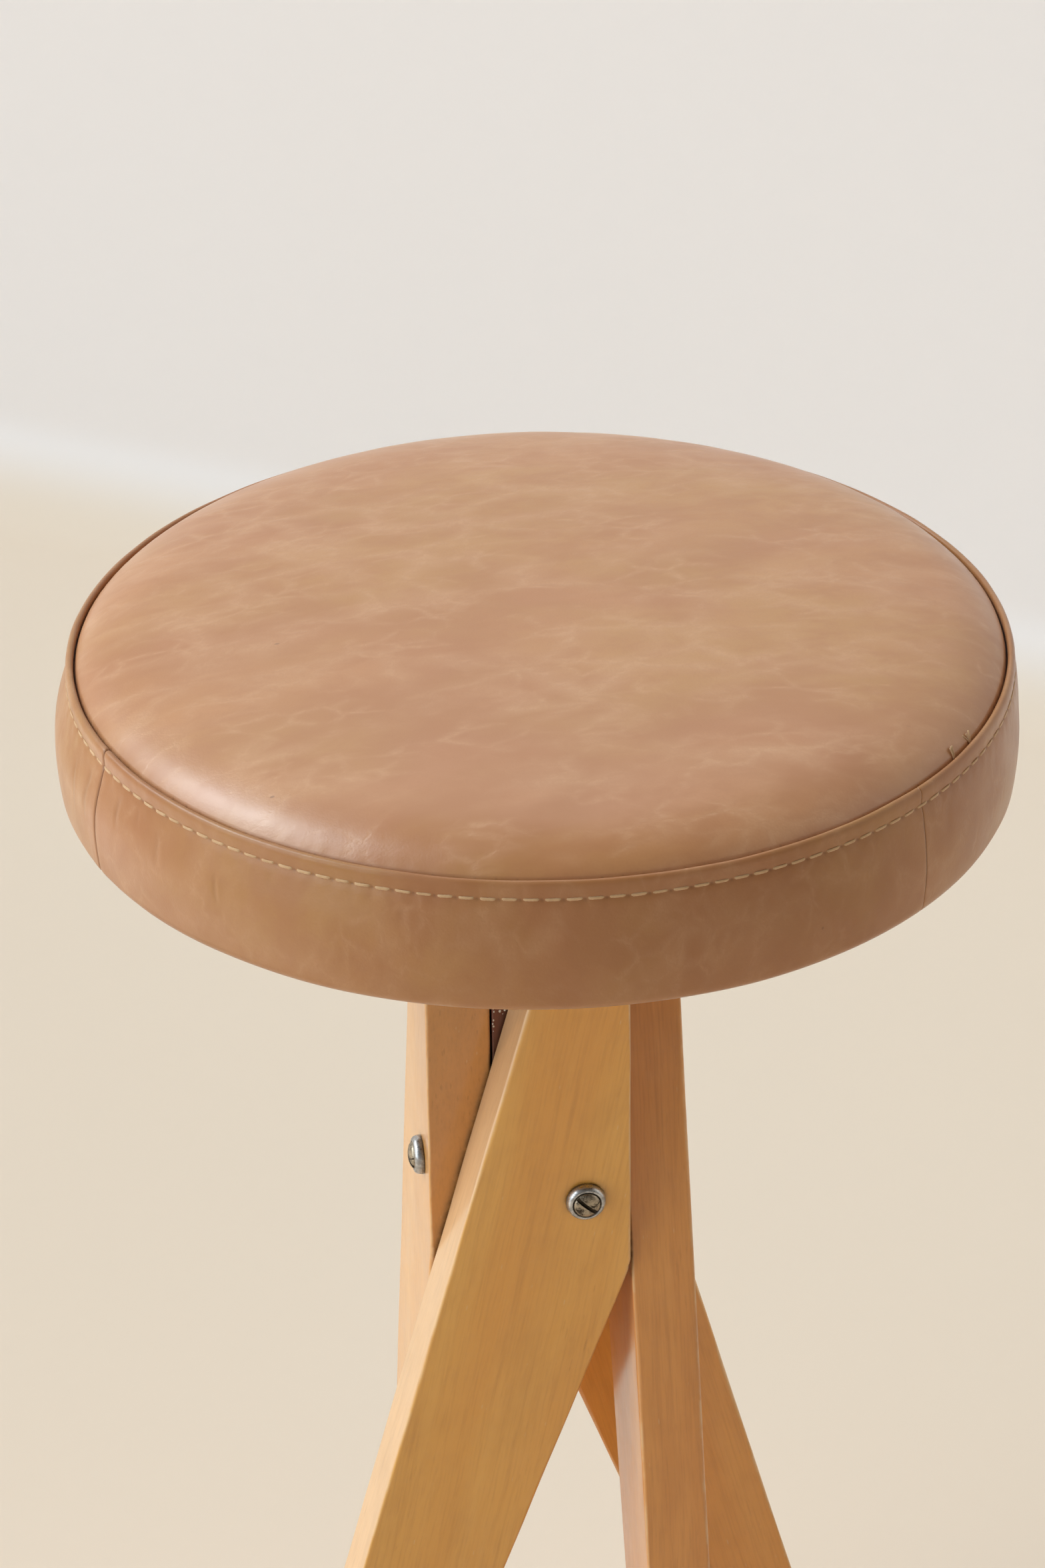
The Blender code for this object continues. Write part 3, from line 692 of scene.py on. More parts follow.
CORE_WOOD = wood_material(
    "core_wood", seed=21.0, tilt=0.0, light=(0.260, 0.085, 0.040), mid=(0.200, 0.060, 0.028),
    warm=(0.155, 0.042, 0.020), dark=(0.055, 0.018, 0.010), rough=0.52, figure=1.2, gloss=0.5)
PLYWOOD = plywood_material()
STEEL = metal_material("steel", base=(0.52, 0.51, 0.50), grime_and_shade=(0.16, 0.14, 0.12),
                       rough=0.27, amount=0.55, scale=300.0)
BRASS = metal_material("screw_brass", base=(0.40, 0.33, 0.24), grime_and_shade=(0.050, 0.033, 0.020),
                       rough=0.36, amount=1.0, scale=520.0)
ZINC = metal_material("zinc", base=(0.66, 0.66, 0.66), grime_and_shade=(0.40, 0.39, 0.36),
                      rough=0.33, amount=0.4)
THREAD = thread_material()
FOAM = foam_material()
DUST = dust_material()
NYLON = mottled_material("glide_nylon", (0.060, 0.048, 0.038), (0.105, 0.085, 0.066),
                         scale=240.0, rough=0.52, strength=0.15)
GLUE = mottled_material("dried_glue", (0.72, 0.62, 0.48), (0.86, 0.80, 0.70),
                        scale=900.0, rough=0.35, strength=0.2)


# =============================================================== the padded form
def simulate_pad():
    """Blow up a slightly flat pad as cloth held at the seam; returns the points of its crown."""
    flat = 0.72                     # the pad's rise as a share of the crown's
    edge_r = SEAM_R - 0.001
    profile = [(r, SEAM_Z - 0.030) for r in (0.0, 0.060, 0.120, 0.160)]
    profile += [(SEAM_R - 0.002, SEAM_Z - 0.028), (edge_r, SEAM_Z - 0.012), (edge_r, SEAM_Z)]
    profile += [(r, SEAM_Z + flat * (crown_z(r) - SEAM_Z))
                for r in (0.170, 0.164, 0.150, 0.125, 0.090, 0.045)]
    profile.append((0.0, SEAM_Z + flat * (CROWN_SLOW + CROWN_FAST)))
    pad = lathe("pad_form", profile, 96)
    mod = pad.modifiers.new("remesh", "REMESH")
    mod.mode = "VOXEL"
    mod.voxel_size = 0.0055
    bake(pad)
    rest = points_of(pad.data)
    radius = np.hypot(rest[:, 0], rest[:, 1])
    held = (radius > SEAM_R - 0.0055) | (rest[:, 2] < SEAM_Z - 0.004)
    group = pad.vertex_groups.new(name="held")
    group.add([int(i) for i in np.nonzero(held)[0]], 1.0, "REPLACE")
    cloth = pad.modifiers.new("cloth", "CLOTH")
    settings = cloth.settings
    settings.quality = 6
    settings.mass = 0.35
    settings.tension_stiffness = 22.0
    settings.compression_stiffness = 22.0
    settings.shear_stiffness = 12.0
    settings.bending_stiffness = 2.5
    settings.use_pressure = True
    settings.uniform_pressure_force = 4.0
    settings.vertex_group_mass = "held"
    settings.effector_weights.gravity = 0.0
    cloth.collision_settings.use_collision = False
    cloth.point_cache.frame_start = 1
    cloth.point_cache.frame_end = 22
    scene = bpy.context.scene
    for f in range(1, 21):
        scene.frame_set(f)
    depsgraph = bpy.context.evaluated_depsgraph_get()
    mesh = bpy.data.meshes.new_from_object(pad.evaluated_get(depsgraph))
    move = points_of(mesh) - rest
    longest = 0.010
    distance = np.linalg.norm(move, axis=1)
    move *= np.minimum(1.0, longest / np.maximum(distance, 1e-9))[:, None]
    scene.frame_set(1)
    bpy.data.objects.remove(pad, do_unlink=True)
    bpy.data.meshes.remove(mesh)
    crown = (rest[:, 2] > SEAM_Z + 0.002) & (radius < SEAM_R - 0.004)
    return (rest + move)[crown]


def pad_swell():
    """The pad's uneven swell on a square lattice, with its round part taken out."""
    points = simulate_pad()
    height = points[:, 2] - crown_z(np.hypot(points[:, 0], points[:, 1]))
    size, spread = 49, 0.009
    axis = np.linspace(-SEAM_R, SEAM_R, size)
    grid_x, grid_y = np.meshgrid(axis, axis, indexing="ij")
    swell = np.zeros((size, size))
    for i in range(size):
        square = ((points[:, 0][None, :] - grid_x[i][:, None]) ** 2
                  + (points[:, 1][None, :] - grid_y[i][:, None]) ** 2)
        weight = np.exp(-square / (2 * spread ** 2))
        swell[i] = (weight @ height) / np.maximum(weight.sum(1), 1e-9)
    radius = np.hypot(grid_x, grid_y)
    inside = radius < 0.16
    swell = swell - np.polyval(np.polyfit(radius[inside], swell[inside], 5), radius)
    swell[radius > 0.165] = 0.0
    return axis, swell


def sample_lattice(axis, values, x, y):
    """Bilinear lookup in a square lattice."""
    top = len(axis) - 1.001
    u, v = (np.clip((at - axis[0]) / (axis[1] - axis[0]), 0, top) for at in (x, y))
    i, j = u.astype(int), v.astype(int)
    du, dv = u - i, v - j
    return (values[i, j] * (1 - du) * (1 - dv) + values[i + 1, j] * du * (1 - dv)
            + values[i, j + 1] * (1 - du) * dv + values[i + 1, j + 1] * du * dv)


# Very shallow unevenness of the crown: x, y, spread, height
DENTS = (
    (-0.050, -0.075, 0.050, -0.00055), (0.062, 0.030, 0.060, 0.00045),
    (-0.085, 0.040, 0.045, 0.00040), (0.020, -0.120, 0.038, -0.00035),
    (0.105, -0.052, 0.036, -0.00060), (-0.010, 0.095, 0.050, 0.00035),
    (-0.118, -0.042, 0.030, -0.00035), (0.010, -0.015, 0.070, 0.00040),
)


# ================================================================ seat top panel
# From the shoulder down into the seam and back up inside: radius less SEAM_R, height less SEAM_Z
PANEL_RIM = (
    (-0.00056, -0.0015), (-0.00020, -0.0024), (-0.00008, -0.0036), (-0.00035, -0.0055),
    (-0.0006, -0.0090), (-0.0018, -0.0090), (-0.0021, -0.0030),
)


def square_disc(half, disc_r):
    """A square lattice of 2 * half steps mapped to a disc, one ring of 8k points for each k.
    Returns its points, its quads and the ids of its border in order of angle."""
    i = np.arange(-half, half + 1)
    a, b = np.meshgrid(i, i, indexing="ij")
    ring = np.maximum(np.abs(a), np.abs(b)).astype(float)
    ring_1 = np.maximum(ring, 1)
    turn_a, turn_b = math.pi / 4 * a / ring_1, math.pi / 4 * b / ring_1
    angle = np.where(np.abs(a) >= np.abs(b),
                     np.where(a >= 0, turn_b, math.pi - turn_b),
                     np.where(b >= 0, math.pi / 2 - turn_a, 1.5 * math.pi + turn_a))
    points = polar(ring / half * disc_r, angle, 0.0).reshape(-1, 3)
    border = np.nonzero((ring == half).reshape(-1))[0]
    theta = np.mod(np.arctan2(points[border, 1], points[border, 0]), TAU)
    border = border[np.argsort(np.round(theta, 6))]
    return points, grid_quads(len(i), len(i), False), border


def panel_relief(x, y, r, theta):
    """How far the panel stands above its smooth surface."""
    fade = ease((SEAM_R - r) / 0.030)
    height = np.zeros_like(x)
    for dent_x, dent_y, spread, rise in DENTS:
        square = (x - dent_x) ** 2 + (y - dent_y) ** 2
        height += rise * np.exp(-square / (2 * spread * spread))
    height *= fade
    swell = sample_lattice(*pad_swell(), x, y)
    height += np.clip(swell, -0.0012, 0.0012) * fade
    # small puckers between the seam's stitches, which soon die out
    near = np.exp(-np.clip(SEAM_R - 0.001 - r, 0, None) / 0.0018) * (r < SEAM_R)
    pucker = 0.00009 * np.cos(STITCHES * theta)
    pucker *= 0.6 + 0.4 * wavy(theta, 5, ((7, 1), (13, 1), (29, 1)))
    # longer, uneven drag lines that run in from the seam
    drag = wavy(theta, 8, ((17, 1.0), (23, 0.9), (31, 0.8), (47, 0.6), (61, 0.4)))
    drag = 0.00010 * drag * bell((SEAM_R - 0.009 - r) / 0.009)
    height += (pucker * near + drag) * (r > 0.12)
    # fullness of the shoulder varies a little round the seat
    return height + 0.0006 * wavy(theta, 12) * bell((r - 0.160) / 0.010)


def build_top_panel():
    disc, disc_quads, border = square_disc(COLS // 8, PANEL_DISC_R)
    border_theta = np.mod(np.arctan2(disc[border, 1], disc[border, 0]), TAU)
    cols = len(border)
    # rings: the shoulder, the rim, then the underside
    reach = 1 - (1 - np.linspace(0, 1, 27)[1:]) ** 1.35
    shoulder = PANEL_DISC_R + (SEAM_R - 0.0012 - PANEL_DISC_R) * reach
    rings = [(r, panel_z(r)) for r in shoulder]
    rings += [(SEAM_R + out, SEAM_Z + up) for out, up in PANEL_RIM]
    rings += [(r, crown_z(r) - PANEL_THICKNESS) for r in (0.1660, 0.1500, 0.1100, 0.0600)]
    rings = np.array(rings)
    verts = np.vstack([disc, polar(rings[:, :1], border_theta, rings[:, 1:]).reshape(-1, 3),
                       [[0, 0, crown_z(0.0) - PANEL_THICKNESS]]])
    ids = len(disc) + np.arange(len(rings) * cols).reshape(-1, cols)
    ids = np.vstack([border[None], ids])
    quads = [disc_quads]
    for inner, outer in zip(ids, ids[1:]):
        quads.append(np.stack([inner, outer, np.roll(outer, -1), np.roll(inner, -1)], -1))
    tris = np.stack([ids[-1], np.full(cols, len(verts) - 1), np.roll(ids[-1], -1)], -1)

    r = np.hypot(verts[:, 0], verts[:, 1])
    theta = np.arctan2(verts[:, 1], verts[:, 0])
    verts[:len(disc), 2] = crown_z(r[:len(disc)])
    outside = len(disc) + (len(shoulder) + 1) * cols        # the disc, shoulder and first rim row
    verts[:outside, 2] += panel_relief(verts[:, 0], verts[:, 1], r, theta)[:outside]
    # fine natural creases
    creased = len(disc) + 20 * cols
    crease = np.array([noise.fractal(Vector((x * 34, y * 52, 3.1)), 0.9, 2.2, 4)
                       for x, y, _ in verts[:creased]])
    verts[:creased, 2] += 0.00010 * crease * clamp((SEAM_R - 0.004 - r[:creased]) / 0.01)
    ob = mesh_object("seat_leather_top", verts, np.vstack(quads), tris)
    # painted shade: dark only down in the join, with a darker mark at each hidden stitch
    mark = clamp(np.cos(STITCHES * theta + 0.8)) ** 6
    mark *= 0.6 + 0.4 * wavy(theta, 41, ((19, 1), (33, 1)))
    hollow_shade = clamp((SEAM_Z - 0.0011 + 0.0010 * mark - verts[:, 2]) / 0.0014)
    set_attr(ob, "hollow_shade", np.where(r > 0.168, hollow_shade * (0.45 + 0.40 * mark), 0))
    fix_normals(ob)
    done(ob, LEATHER_TOP, "leather", "seat_top_panel")


# ===================================================================== seat band
# The folded lip, from inside the seam outwards: radius less SEAM_R, height less SEAM_Z
BAND_LIP = (
    (0.00030, -0.0060), (0.00014, -0.0030), (0.00010, -0.0013), (0.00030, -0.0003),
    (0.00085, 0.00030), (0.00150, 0.00042), (0.00215, 0.00018), (0.00268, -0.00045),
    (0.00298, -0.00140), (0.00310, -0.00250),
)
# The band's hidden side, from the turned-under edge up into the seam: radius, height
BAND_INSIDE = np.array((
    (BAND_TURN_R, SEAT_BOTTOM_Z + 0.0020), (0.1640, SEAT_BOTTOM_Z + 0.0020),
    (0.1712, SEAT_BOTTOM_Z + 0.0020), (0.1752, SEAT_BOTTOM_Z + 0.0034),
    (0.1768, SEAT_BOTTOM_Z + 0.0075), (0.1776, BAND_R_Z - 0.004), (0.1776, BAND_R_Z + 0.006),
    (0.1762, STITCH_Z - 0.0080), (0.1744, STITCH_Z - 0.0010),
    (SEAM_R + 0.0007, SEAM_Z - 0.0068),
))
# How the leather rolls in at each upright seam: width, depth, depth on the lip, and how far
# the seam fades out above and below the middle of the band
SEAM_ROLLS = (
    (0.0012, 0.00055, 0.00040, 0.0), (0.0008, 0.00018, 0.0, 1.0), (0.0010, 0.00035, 0.00020, 0.3),
)
# Degrees from the first seam, depth, half-width, start and end below the stitching
WRINKLES = (
    (5.2, 0.00030, 0.0011, 0.0040, 0.017), (9.0, 0.00022, 0.0009, 0.0030, 0.011),
    (13.4, 0.00016, 0.0012, 0.006, 0.021), (23.5, 0.00026, 0.0009, 0.010, 0.024),
    (31.0, 0.00014, 0.0010, 0.003, 0.012), (-3.2, 0.00034, 0.0012, 0.004, 0.026),
    (-7.5, 0.00024, 0.0010, 0.008, 0.030), (47.0, 0.00013, 0.0012, 0.004, 0.014),
    (109.0, 0.00006, 0.0016, 0.004, 0.016), (117.8, 0.00008, 0.0018, 0.003, 0.020),
    (131.0, 0.00005, 0.0014, 0.004, 0.014), (232.0, 0.00030, 0.0012, 0.003, 0.022),
    (246.5, 0.00026, 0.0012, 0.004, 0.024), (252.0, 0.0002, 0.001, 0.004, 0.015),
)
SEAM_TRIM = 0.00002 / BAND_R        # half the gap between two bands, as an angle
SEAM_CLEAR = 0.0032 / BAND_R        # the stitch lattice stops this far from a seam


def band_outline():
    """Outer line of the band from inside the seam, over the folded lip, down the side, round
    the lower corner and in under the base."""
    points = [(SEAM_R + out, SEAM_Z + up) for out, up in BAND_LIP]
    points += [(STITCH_R - 0.00012, STITCH_Z + 0.0020), (STITCH_R - 0.00008, STITCH_Z),
               (STITCH_R + 0.0008, STITCH_Z - 0.0032)]
    points += [(STITCH_R + (BAND_R - STITCH_R) * math.sin(t * math.pi / 2),
                STITCH_Z + (BAND_R_Z - STITCH_Z) * t) for t in (0.30, 0.5, 0.75, 1.0)]
    corner_z = SEAT_BOTTOM_Z + BAND_CORNER
    points.append((BAND_R - 0.0003, (BAND_R_Z + corner_z) / 2))
    for a in map(math.radians, (0, 25, 50, 75, 90)):
        points.append((BAND_R - 0.0010 - BAND_CORNER * (1 - math.cos(a)),
                       corner_z - BAND_CORNER * math.sin(a)))
    return points + [(0.1660, SEAT_BOTTOM_Z + 0.0001), (0.1580, SEAT_BOTTOM_Z + 0.0003),
                     (BAND_TURN_R, SEAT_BOTTOM_Z + 0.0004)]


def band_shift(theta, radius, z):
    """Where the upholstered side stands away from a perfect round."""
    fuller_left = -0.0012 * np.cos(theta)
    uneven = 0.00055 * wavy(theta, 21)
    uneven = uneven + 0.00030 * wavy(theta, 22, ((6, 1), (9, 1), (14, 0.8), (21, 0.5)))
    return (ease((STITCH_Z - z) / 0.020) * (fuller_left + uneven)
            * clamp((radius - BAND_TURN_R) / 0.02))


def band_columns(start, end):
    """Angles of a band's columns: on the stitch lattice, crowding towards both seams."""
    step = TAU / COLS
    first = math.ceil((start + SEAM_CLEAR) / step)
    last = math.floor((end - SEAM_CLEAR) / step)
    start += SEAM_TRIM
    end -= SEAM_TRIM
    crowd = np.array([0, 0.08, 0.18, 0.32, 0.5, 0.72])
    return np.concatenate([start + (first * step - start) * crowd,
                           np.arange(first, last + 1) * step,
                           end - (end - last * step) * crowd[::-1]])


def band_relief(index, theta, radius, z, arc, stitch_arc):
    """Displacement of the band along its normal, and the painted shade in its crease, seams,
    wrinkles and stitch holes.
    """
    # the row of stitches presses a shallow channel, with a hole where each stitch dives
    channel = bell((arc - stitch_arc) / 0.0013)
    phase = (theta * STITCHES / TAU) % 1.0
    to_hole = np.minimum(phase, 1 - phase) * TAU * STITCH_R / STITCHES
    hole = bell(to_hole / 0.00055) * bell((arc - stitch_arc) / 0.00055)
    relief = -0.00009 * channel - 0.00036 * hole
    # the leather swells a little between the holes, above and below the row
    puff = (bell((arc - stitch_arc - 0.0030) / 0.0022)
            + 0.6 * bell((arc - stitch_arc + 0.0026) / 0.0016))
    relief += 0.00006 * np.cos(TAU * (phase - 0.5)) * puff
    # the lip is not quite even
    uneven = wavy(theta, 31, ((5, 1), (11, 1), (23, 0.8), (41, 0.5)))
    relief += bell((arc - 0.0072) / 0.0030) * (0.00022 * uneven)
    # wrinkles, each with a slight swell beside it
    drop = STITCH_Z - z
    wrinkle = np.zeros_like(relief)
    for degrees, depth, width, top, bottom in WRINKLES:
        at = BAND_SEAMS[0] + math.radians(degrees)
        turn = (theta - at + math.pi) % TAU - math.pi
        run = turn * BAND_R + 0.0009 * np.sin(drop * 260 + degrees)
        along = clamp((drop - top) / 0.004) * clamp((bottom - drop) / 0.006)
        wrinkle += along * bell(run / width) * depth
        relief += along * 0.45 * depth * bell((run - 2.2 * width) / (1.3 * width))
    relief -= wrinkle
    # both ends roll in to the upright seam
    below_lip = clamp((arc - 0.004) / 0.003)
    seam = np.zeros_like(relief)
    for turn, which in ((theta - theta[0], index), (theta[-1] - theta, (index + 1) % 3)):
        width, depth, lip_depth, fade = SEAM_ROLLS[which]
        to_seam = turn * BAND_R
        roll = clamp(1 - to_seam / width)
        relief -= roll ** 2 * (lip_depth * (1 - below_lip) + depth * below_lip)
        relief += 0.00010 * bell((to_seam - 0.0034) / 0.0022) * below_lip * (depth > 0.0003)
        middle = clamp((drop - 0.0035) / 0.003) * clamp((0.0375 - drop) / 0.006)
        show = 1 - fade * (1 - middle)
        seam = np.maximum(seam, roll ** 1.6 * (0.40 + 500 * depth) * show)
    # gathers where the leather turns under the base
    under = clamp((0.1755 - radius) / 0.006) * (z < SEAT_BOTTOM_Z + 0.004)
    gather = np.abs(np.sin(theta * 37 + 1.5 * np.sin(theta * 5))) ** 6
    relief -= 0.00035 * under * gather
    # painted shade in the stitch holes and channel, the wrinkles, the upright seams and down in
    # the crease above the lip
    hollow_shade = clamp(hole * 0.42 + channel * 0.05 + wrinkle / 0.0016 + seam
                  + clamp((0.0046 - arc) / 0.002))
    return relief, hollow_shade


def build_band(index, side):
    """The length of band from one upright seam to the next."""
    start, end = BAND_SEAMS[index], BAND_SEAMS[(index + 1) % 3]
    if end < start:
        end += TAU
    theta = band_columns(start, end)
    line, arc = spline(band_outline(), 84, dense=((0.0095, 0.0045, 3.0), (0.0155, 0.0030, 2.0)))
    off_row = np.abs(line[:, 1] - STITCH_Z) + (line[:, 0] < SEAM_R + 0.0012)
    stitch_arc = float(arc[np.argmin(off_row)])
    tangent = np.gradient(line, axis=0)
    normal = unit_rows(np.stack([-tangent[:, 1], tangent[:, 0]], -1))
    radius, z = line[:, :1], line[:, 1:]
    relief, outer_shade = band_relief(index, theta, radius, z, arc[:, None], stitch_arc)
    outer = polar(radius + normal[:, :1] * relief + band_shift(theta, radius, z),
                  theta, z + normal[:, 1:] * relief)
    # the hidden side draws in near the seams, to stay behind the outer one
    radius, z = BAND_INSIDE[:, :1], BAND_INSIDE[:, 1:]
    to_seam = np.minimum(theta - theta[0], theta[-1] - theta) * BAND_R
    radius = radius - 0.0009 * clamp(1 - to_seam / 0.0030) * (radius > 0.172)
    inner = polar(radius + band_shift(theta, radius, z), theta, z)
    points = np.concatenate([outer, inner], 0)
    rows, cols = points.shape[:2]
    start_cap = [i * cols for i in range(rows)]
    end_cap = [i * cols + cols - 1 for i in range(rows)][::-1]
    ob = mesh_object("leather_band_" + side, points.reshape(-1, 3),
                     grid_quads(rows, cols, False, closed=True), (), (start_cap, end_cap))
    hollow_shade = np.zeros((rows, cols))
    hollow_shade[:len(line)] = outer_shade
    set_attr(ob, "hollow_shade", hollow_shade.ravel())
    fix_normals(ob)
    ob.data.set_sharp_from_angle(angle=math.radians(75))
    done(ob, LEATHER_BAND, "leather", "seat_band_" + side)


# ======================================================================== thread
def build_stitches():
    """A row of lockstitches: each is a short three-ply length that dives into a shared hole
    at both ends."""
    rng = np.random.default_rng(77)
    sections, around = 15, 12
    along = np.linspace(-1, 1, sections)
    along = np.sign(along) * np.abs(along) ** 0.85
    dive = 1 - np.abs(along) ** 5
    taper = 0.62 + 0.38 * dive ** 0.6
    phi = np.arange(around) / around * TAU
    stitches = []
    for i in range(STITCHES):
        middle = (i + 0.5) / STITCHES * TAU
        half = TAU / STITCHES / 2 * (0.885 + 0.02 * rng.standard_normal())
        lean = rng.normal(0.00008, 0.00006)
        lift = 0.00024 + rng.normal(0, 0.00004)
        width = 0.00060 * (1 + rng.normal(0, 0.06))
        radius = STITCH_R - 0.00036 + lift * dive - 0.00055 * (1 - dive)
        z = STITCH_Z + lean * along + 0.00004 * rng.standard_normal()
        twist = (5.5 * along + i * 1.7)[:, None]
        ring = width * taper[:, None] * (1 + 0.09 * np.cos(3 * (phi - twist)))
        stitches.append(polar(radius[:, None] + 0.46 * ring * np.cos(phi),
                              (middle + along * half)[:, None],
                              z[:, None] + ring * np.sin(phi)))
    ob = tubes_object("topstitching", stitches)
    # painted shade at both ends of each stitch, where it dives into the leather
    set_attr(ob, "hollow_shade", np.tile(np.repeat(np.abs(along) ** 7, around), STITCHES))
    done(ob, THREAD, "thread", "topstitch_thread")


def build_thread_ends(name, degrees, seed):
    """Three short cut ends of seam thread that stand out of the crease."""
    rng = np.random.default_rng(seed)
    thread_r = 0.00034
    along = np.linspace(0, 1, 9)
    tufts = []
    for _ in range(3):
        root = math.radians(degrees) + rng.normal(0, 0.0022)
        tip_in = rng.uniform(0.0012, 0.0028)
        rise = rng.uniform(0.0018, 0.0030)
        sideways = rng.normal(0, 0.0012)
        path = polar(SEAM_R - 0.0004 - tip_in * along ** 1.3, root + sideways * along / SEAM_R,
                     SEAM_Z - 0.0012 + (rise + 0.0012) * along ** 0.8)
        across = np.array([math.cos(root + 1.57), math.sin(root + 1.57), 0.0])
        tufts.append(tube(path, across, radii=(thread_r, thread_r)))
    done(tubes_object(name, tufts), THREAD, "thread")


# =================================================================== seat inside
FOAM_SIDE = (
    (0.0, 0.6050), (0.1735, 0.6050), (0.1742, 0.6058), (0.1744, 0.6110), (0.1742, 0.6180),
    (0.1728, 0.6245), (0.1712, 0.6262), (0.1700, 0.6270), (0.1697, 0.6300),
)
FOAM_TOP_R = (0.1690, 0.1670, 0.1640, 0.1590, 0.1520, 0.1420, 0.1280, 0.1100, 0.0850, 0.0550,
              0.0250, 0.0)
# Radius, height above the underside of the mounting plate
PAN_HEAD_SCREW = (
    (0.0, -0.0027), (0.0016, -0.00262), (0.0029, -0.0023), (0.0038, -0.0017),
    (0.0043, -0.0009), (0.0043, -0.0003), (0.0020, -0.0003), (0.0020, 0.0215),
    (0.0010, 0.0252), (0.0, 0.0270),
)
# Radius, height above the top of the head
COUNTERSUNK_SCREW = (
    (0.0, -0.042), (0.0008, -0.040), (0.0019, -0.0372), (0.0019, -0.0023),
    (0.0038, -0.0004), (0.0039, 0.0), (0.0, 0.0),
)


def build_foam():
    profile = list(FOAM_SIDE) + [(r, crown_z(r) - 0.0030) for r in FOAM_TOP_R]
    done(lathe("seat_foam_pad", profile, 160), FOAM, "foam", "seat_foam")


def build_base():
    z0, z1, r = base_lo.z, base_hi.z, base_hi.x
    base = lathe("seat_base_disc", [
        (0.0, z0), (r - 0.0022, z0), (r - 0.0008, z0 + 0.0006), (r, z0 + 0.0022),
        (r, z1 - 0.0010), (r - 0.0010, z1), (0.0, z1)], 192, sharp=30)
    drill(base, math.pi / 4, (SEAT_SCREW_R, 0), z=z0 + 0.0018, radius=SEAT_DRILL_R,
          depth=0.020, segments=24)
    done(base, PLYWOOD, "plywood", "seat_base")


def build_plate():
    z0, z1, r = plate_lo.z, plate_hi.z, plate_hi.x
    plate = lathe("mounting_plate_disc", [
        (0.0, z0), (r - 0.0016, z0), (r - 0.0005, z0 + 0.0005), (r, z0 + 0.0016),
        (r, z1 - 0.0006), (r - 0.0006, z1), (0.0, z1)], 160, sharp=30)
    # overlapping drills are cut one size at a time so that the cut stays clean
    middle = (z0 + z1) / 2
    drill(plate, math.pi / 4, (SEAT_SCREW_R, 0.0), z=middle, radius=SEAT_DRILL_R, depth=0.040,
          segments=28)
    drill(plate, 0.0, PLATE_SCREW_XY, z=middle, radius=0.0022, depth=0.040, segments=28)
    drill(plate, 0.0, PLATE_SCREW_XY, z=z1 - 0.0029 + 0.0050, radius=0.0044, depth=0.010,
          segments=28)
    shade_by_angle(plate, 30)
    done(plate, PLYWOOD, "plywood", "mounting_plate")


def build_seat_screw(node, turn):
    """A pan-head screw with a cross recess, its head below the mounting plate."""
    middle = centre_of(node)
    screw = lathe(node + "_pan_head", PAN_HEAD_SCREW, 36, sharp=40,
                  place=Matrix.Translation((middle.x, middle.y, plate_lo.z)))
    for rot in (0.0, math.pi / 2):
        bm = bmesh.new()
        bmesh.ops.create_cube(bm, size=1.0, matrix=(
            Matrix.Translation((middle.x, middle.y, plate_lo.z - 0.0026))
            @ Matrix.Rotation(turn, 4, "Z") @ Matrix.Rotation(rot, 4, "Z")
            @ Matrix.Diagonal((0.0046, 0.0010, 0.0026, 1))))
        cut_with(screw, bm)
    shade_by_angle(screw, 40)
    done(screw, ZINC, "zinc", node)


def build_plate_screw(node):
    middle = centre_of(node)
    place = Matrix.Translation((middle.x, middle.y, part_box(node)[1].z))
    screw = lathe(node + "_countersunk", COUNTERSUNK_SCREW, 32, sharp=35, place=place)
    done(screw, ZINC, "zinc", node)


# ==================================================================== dust cover
DUST_R0, DUST_R1 = 0.0835, 0.1600
# Half-round of a staple: along it, height
STAPLE = np.array((
    (-0.0050, 0.0016), (-0.0050, 0.0004), (-0.0047, -0.0001), (-0.0042, -0.0003),
    (0.0, -0.00036), (0.0042, -0.0003), (0.0047, -0.0001), (0.0050, 0.0004), (0.0050, 0.0016),
))


def build_dust_cover():
    """A ring of thin cloth that sags a little, with ripples near its outer edge."""
    segs = 240
    theta = np.arange(segs) / segs * TAU
    radius = np.concatenate([np.linspace(DUST_R0, DUST_R1 - 0.004, 18),
                             DUST_R1 - np.array([0.0026, 0.0012, 0.0003, 0.0])])[:, None]
    across = clamp((radius - DUST_R0) / (DUST_R1 - DUST_R0))
    sag = -0.0016 * np.sin(math.pi * across) ** 1.2 * (0.75 + 0.25 * wavy(theta, 41))
    ripple = (0.00030 * np.sin(22 * theta + 2 * np.sin(3 * theta))
              * clamp(1 - np.abs(across - 0.86) / 0.14))
    low = DUST_TOP_Z - 0.0008 + sag + ripple
    bottom = polar(radius, theta, low)
    top = polar(radius, theta, np.minimum(low + 0.00055, DUST_TOP_Z))[::-1]
    points = np.concatenate([bottom, top], 0)
    ob = mesh_object("dust_cover_cloth", points.reshape(-1, 3),
                     grid_quads(len(points), segs, True, closed=True))
    fix_normals(ob)
    done(ob, DUST, "dust_cloth", "seat_dust_cover")


def build_staples():
    """Flat wire staples round the edge of the dust cover."""
    rng = np.random.default_rng(9)
    count = 40
    staples = []
    for k in range(count):
        theta = k / count * TAU + rng.normal(0, 0.010)
        radius = 0.1560 + rng.normal(0, 0.0006)
        facing = theta + rng.normal(0, 0.16)
        along = np.array([-math.sin(facing), math.cos(facing), 0.0])
        out = np.array([math.cos(facing), math.sin(facing), 0.0])
        path = (polar(np.array([radius]), theta, DUST_TOP_Z - 0.0012)
                + STAPLE[:, :1] * along + STAPLE[:, 1:] * np.array([0, 0, 1.0]))
        staples.append(tube(path, out, radii=(0.00021, -0.00045)))
    done(tubes_object("dust_cover_staples", staples), ZINC, "zinc")


# ==================================================================== leg boards
def outer_x(z):
    return -(OUTER_X_KNEE - OUTER_SLOPE * (z - KNEE_Z))


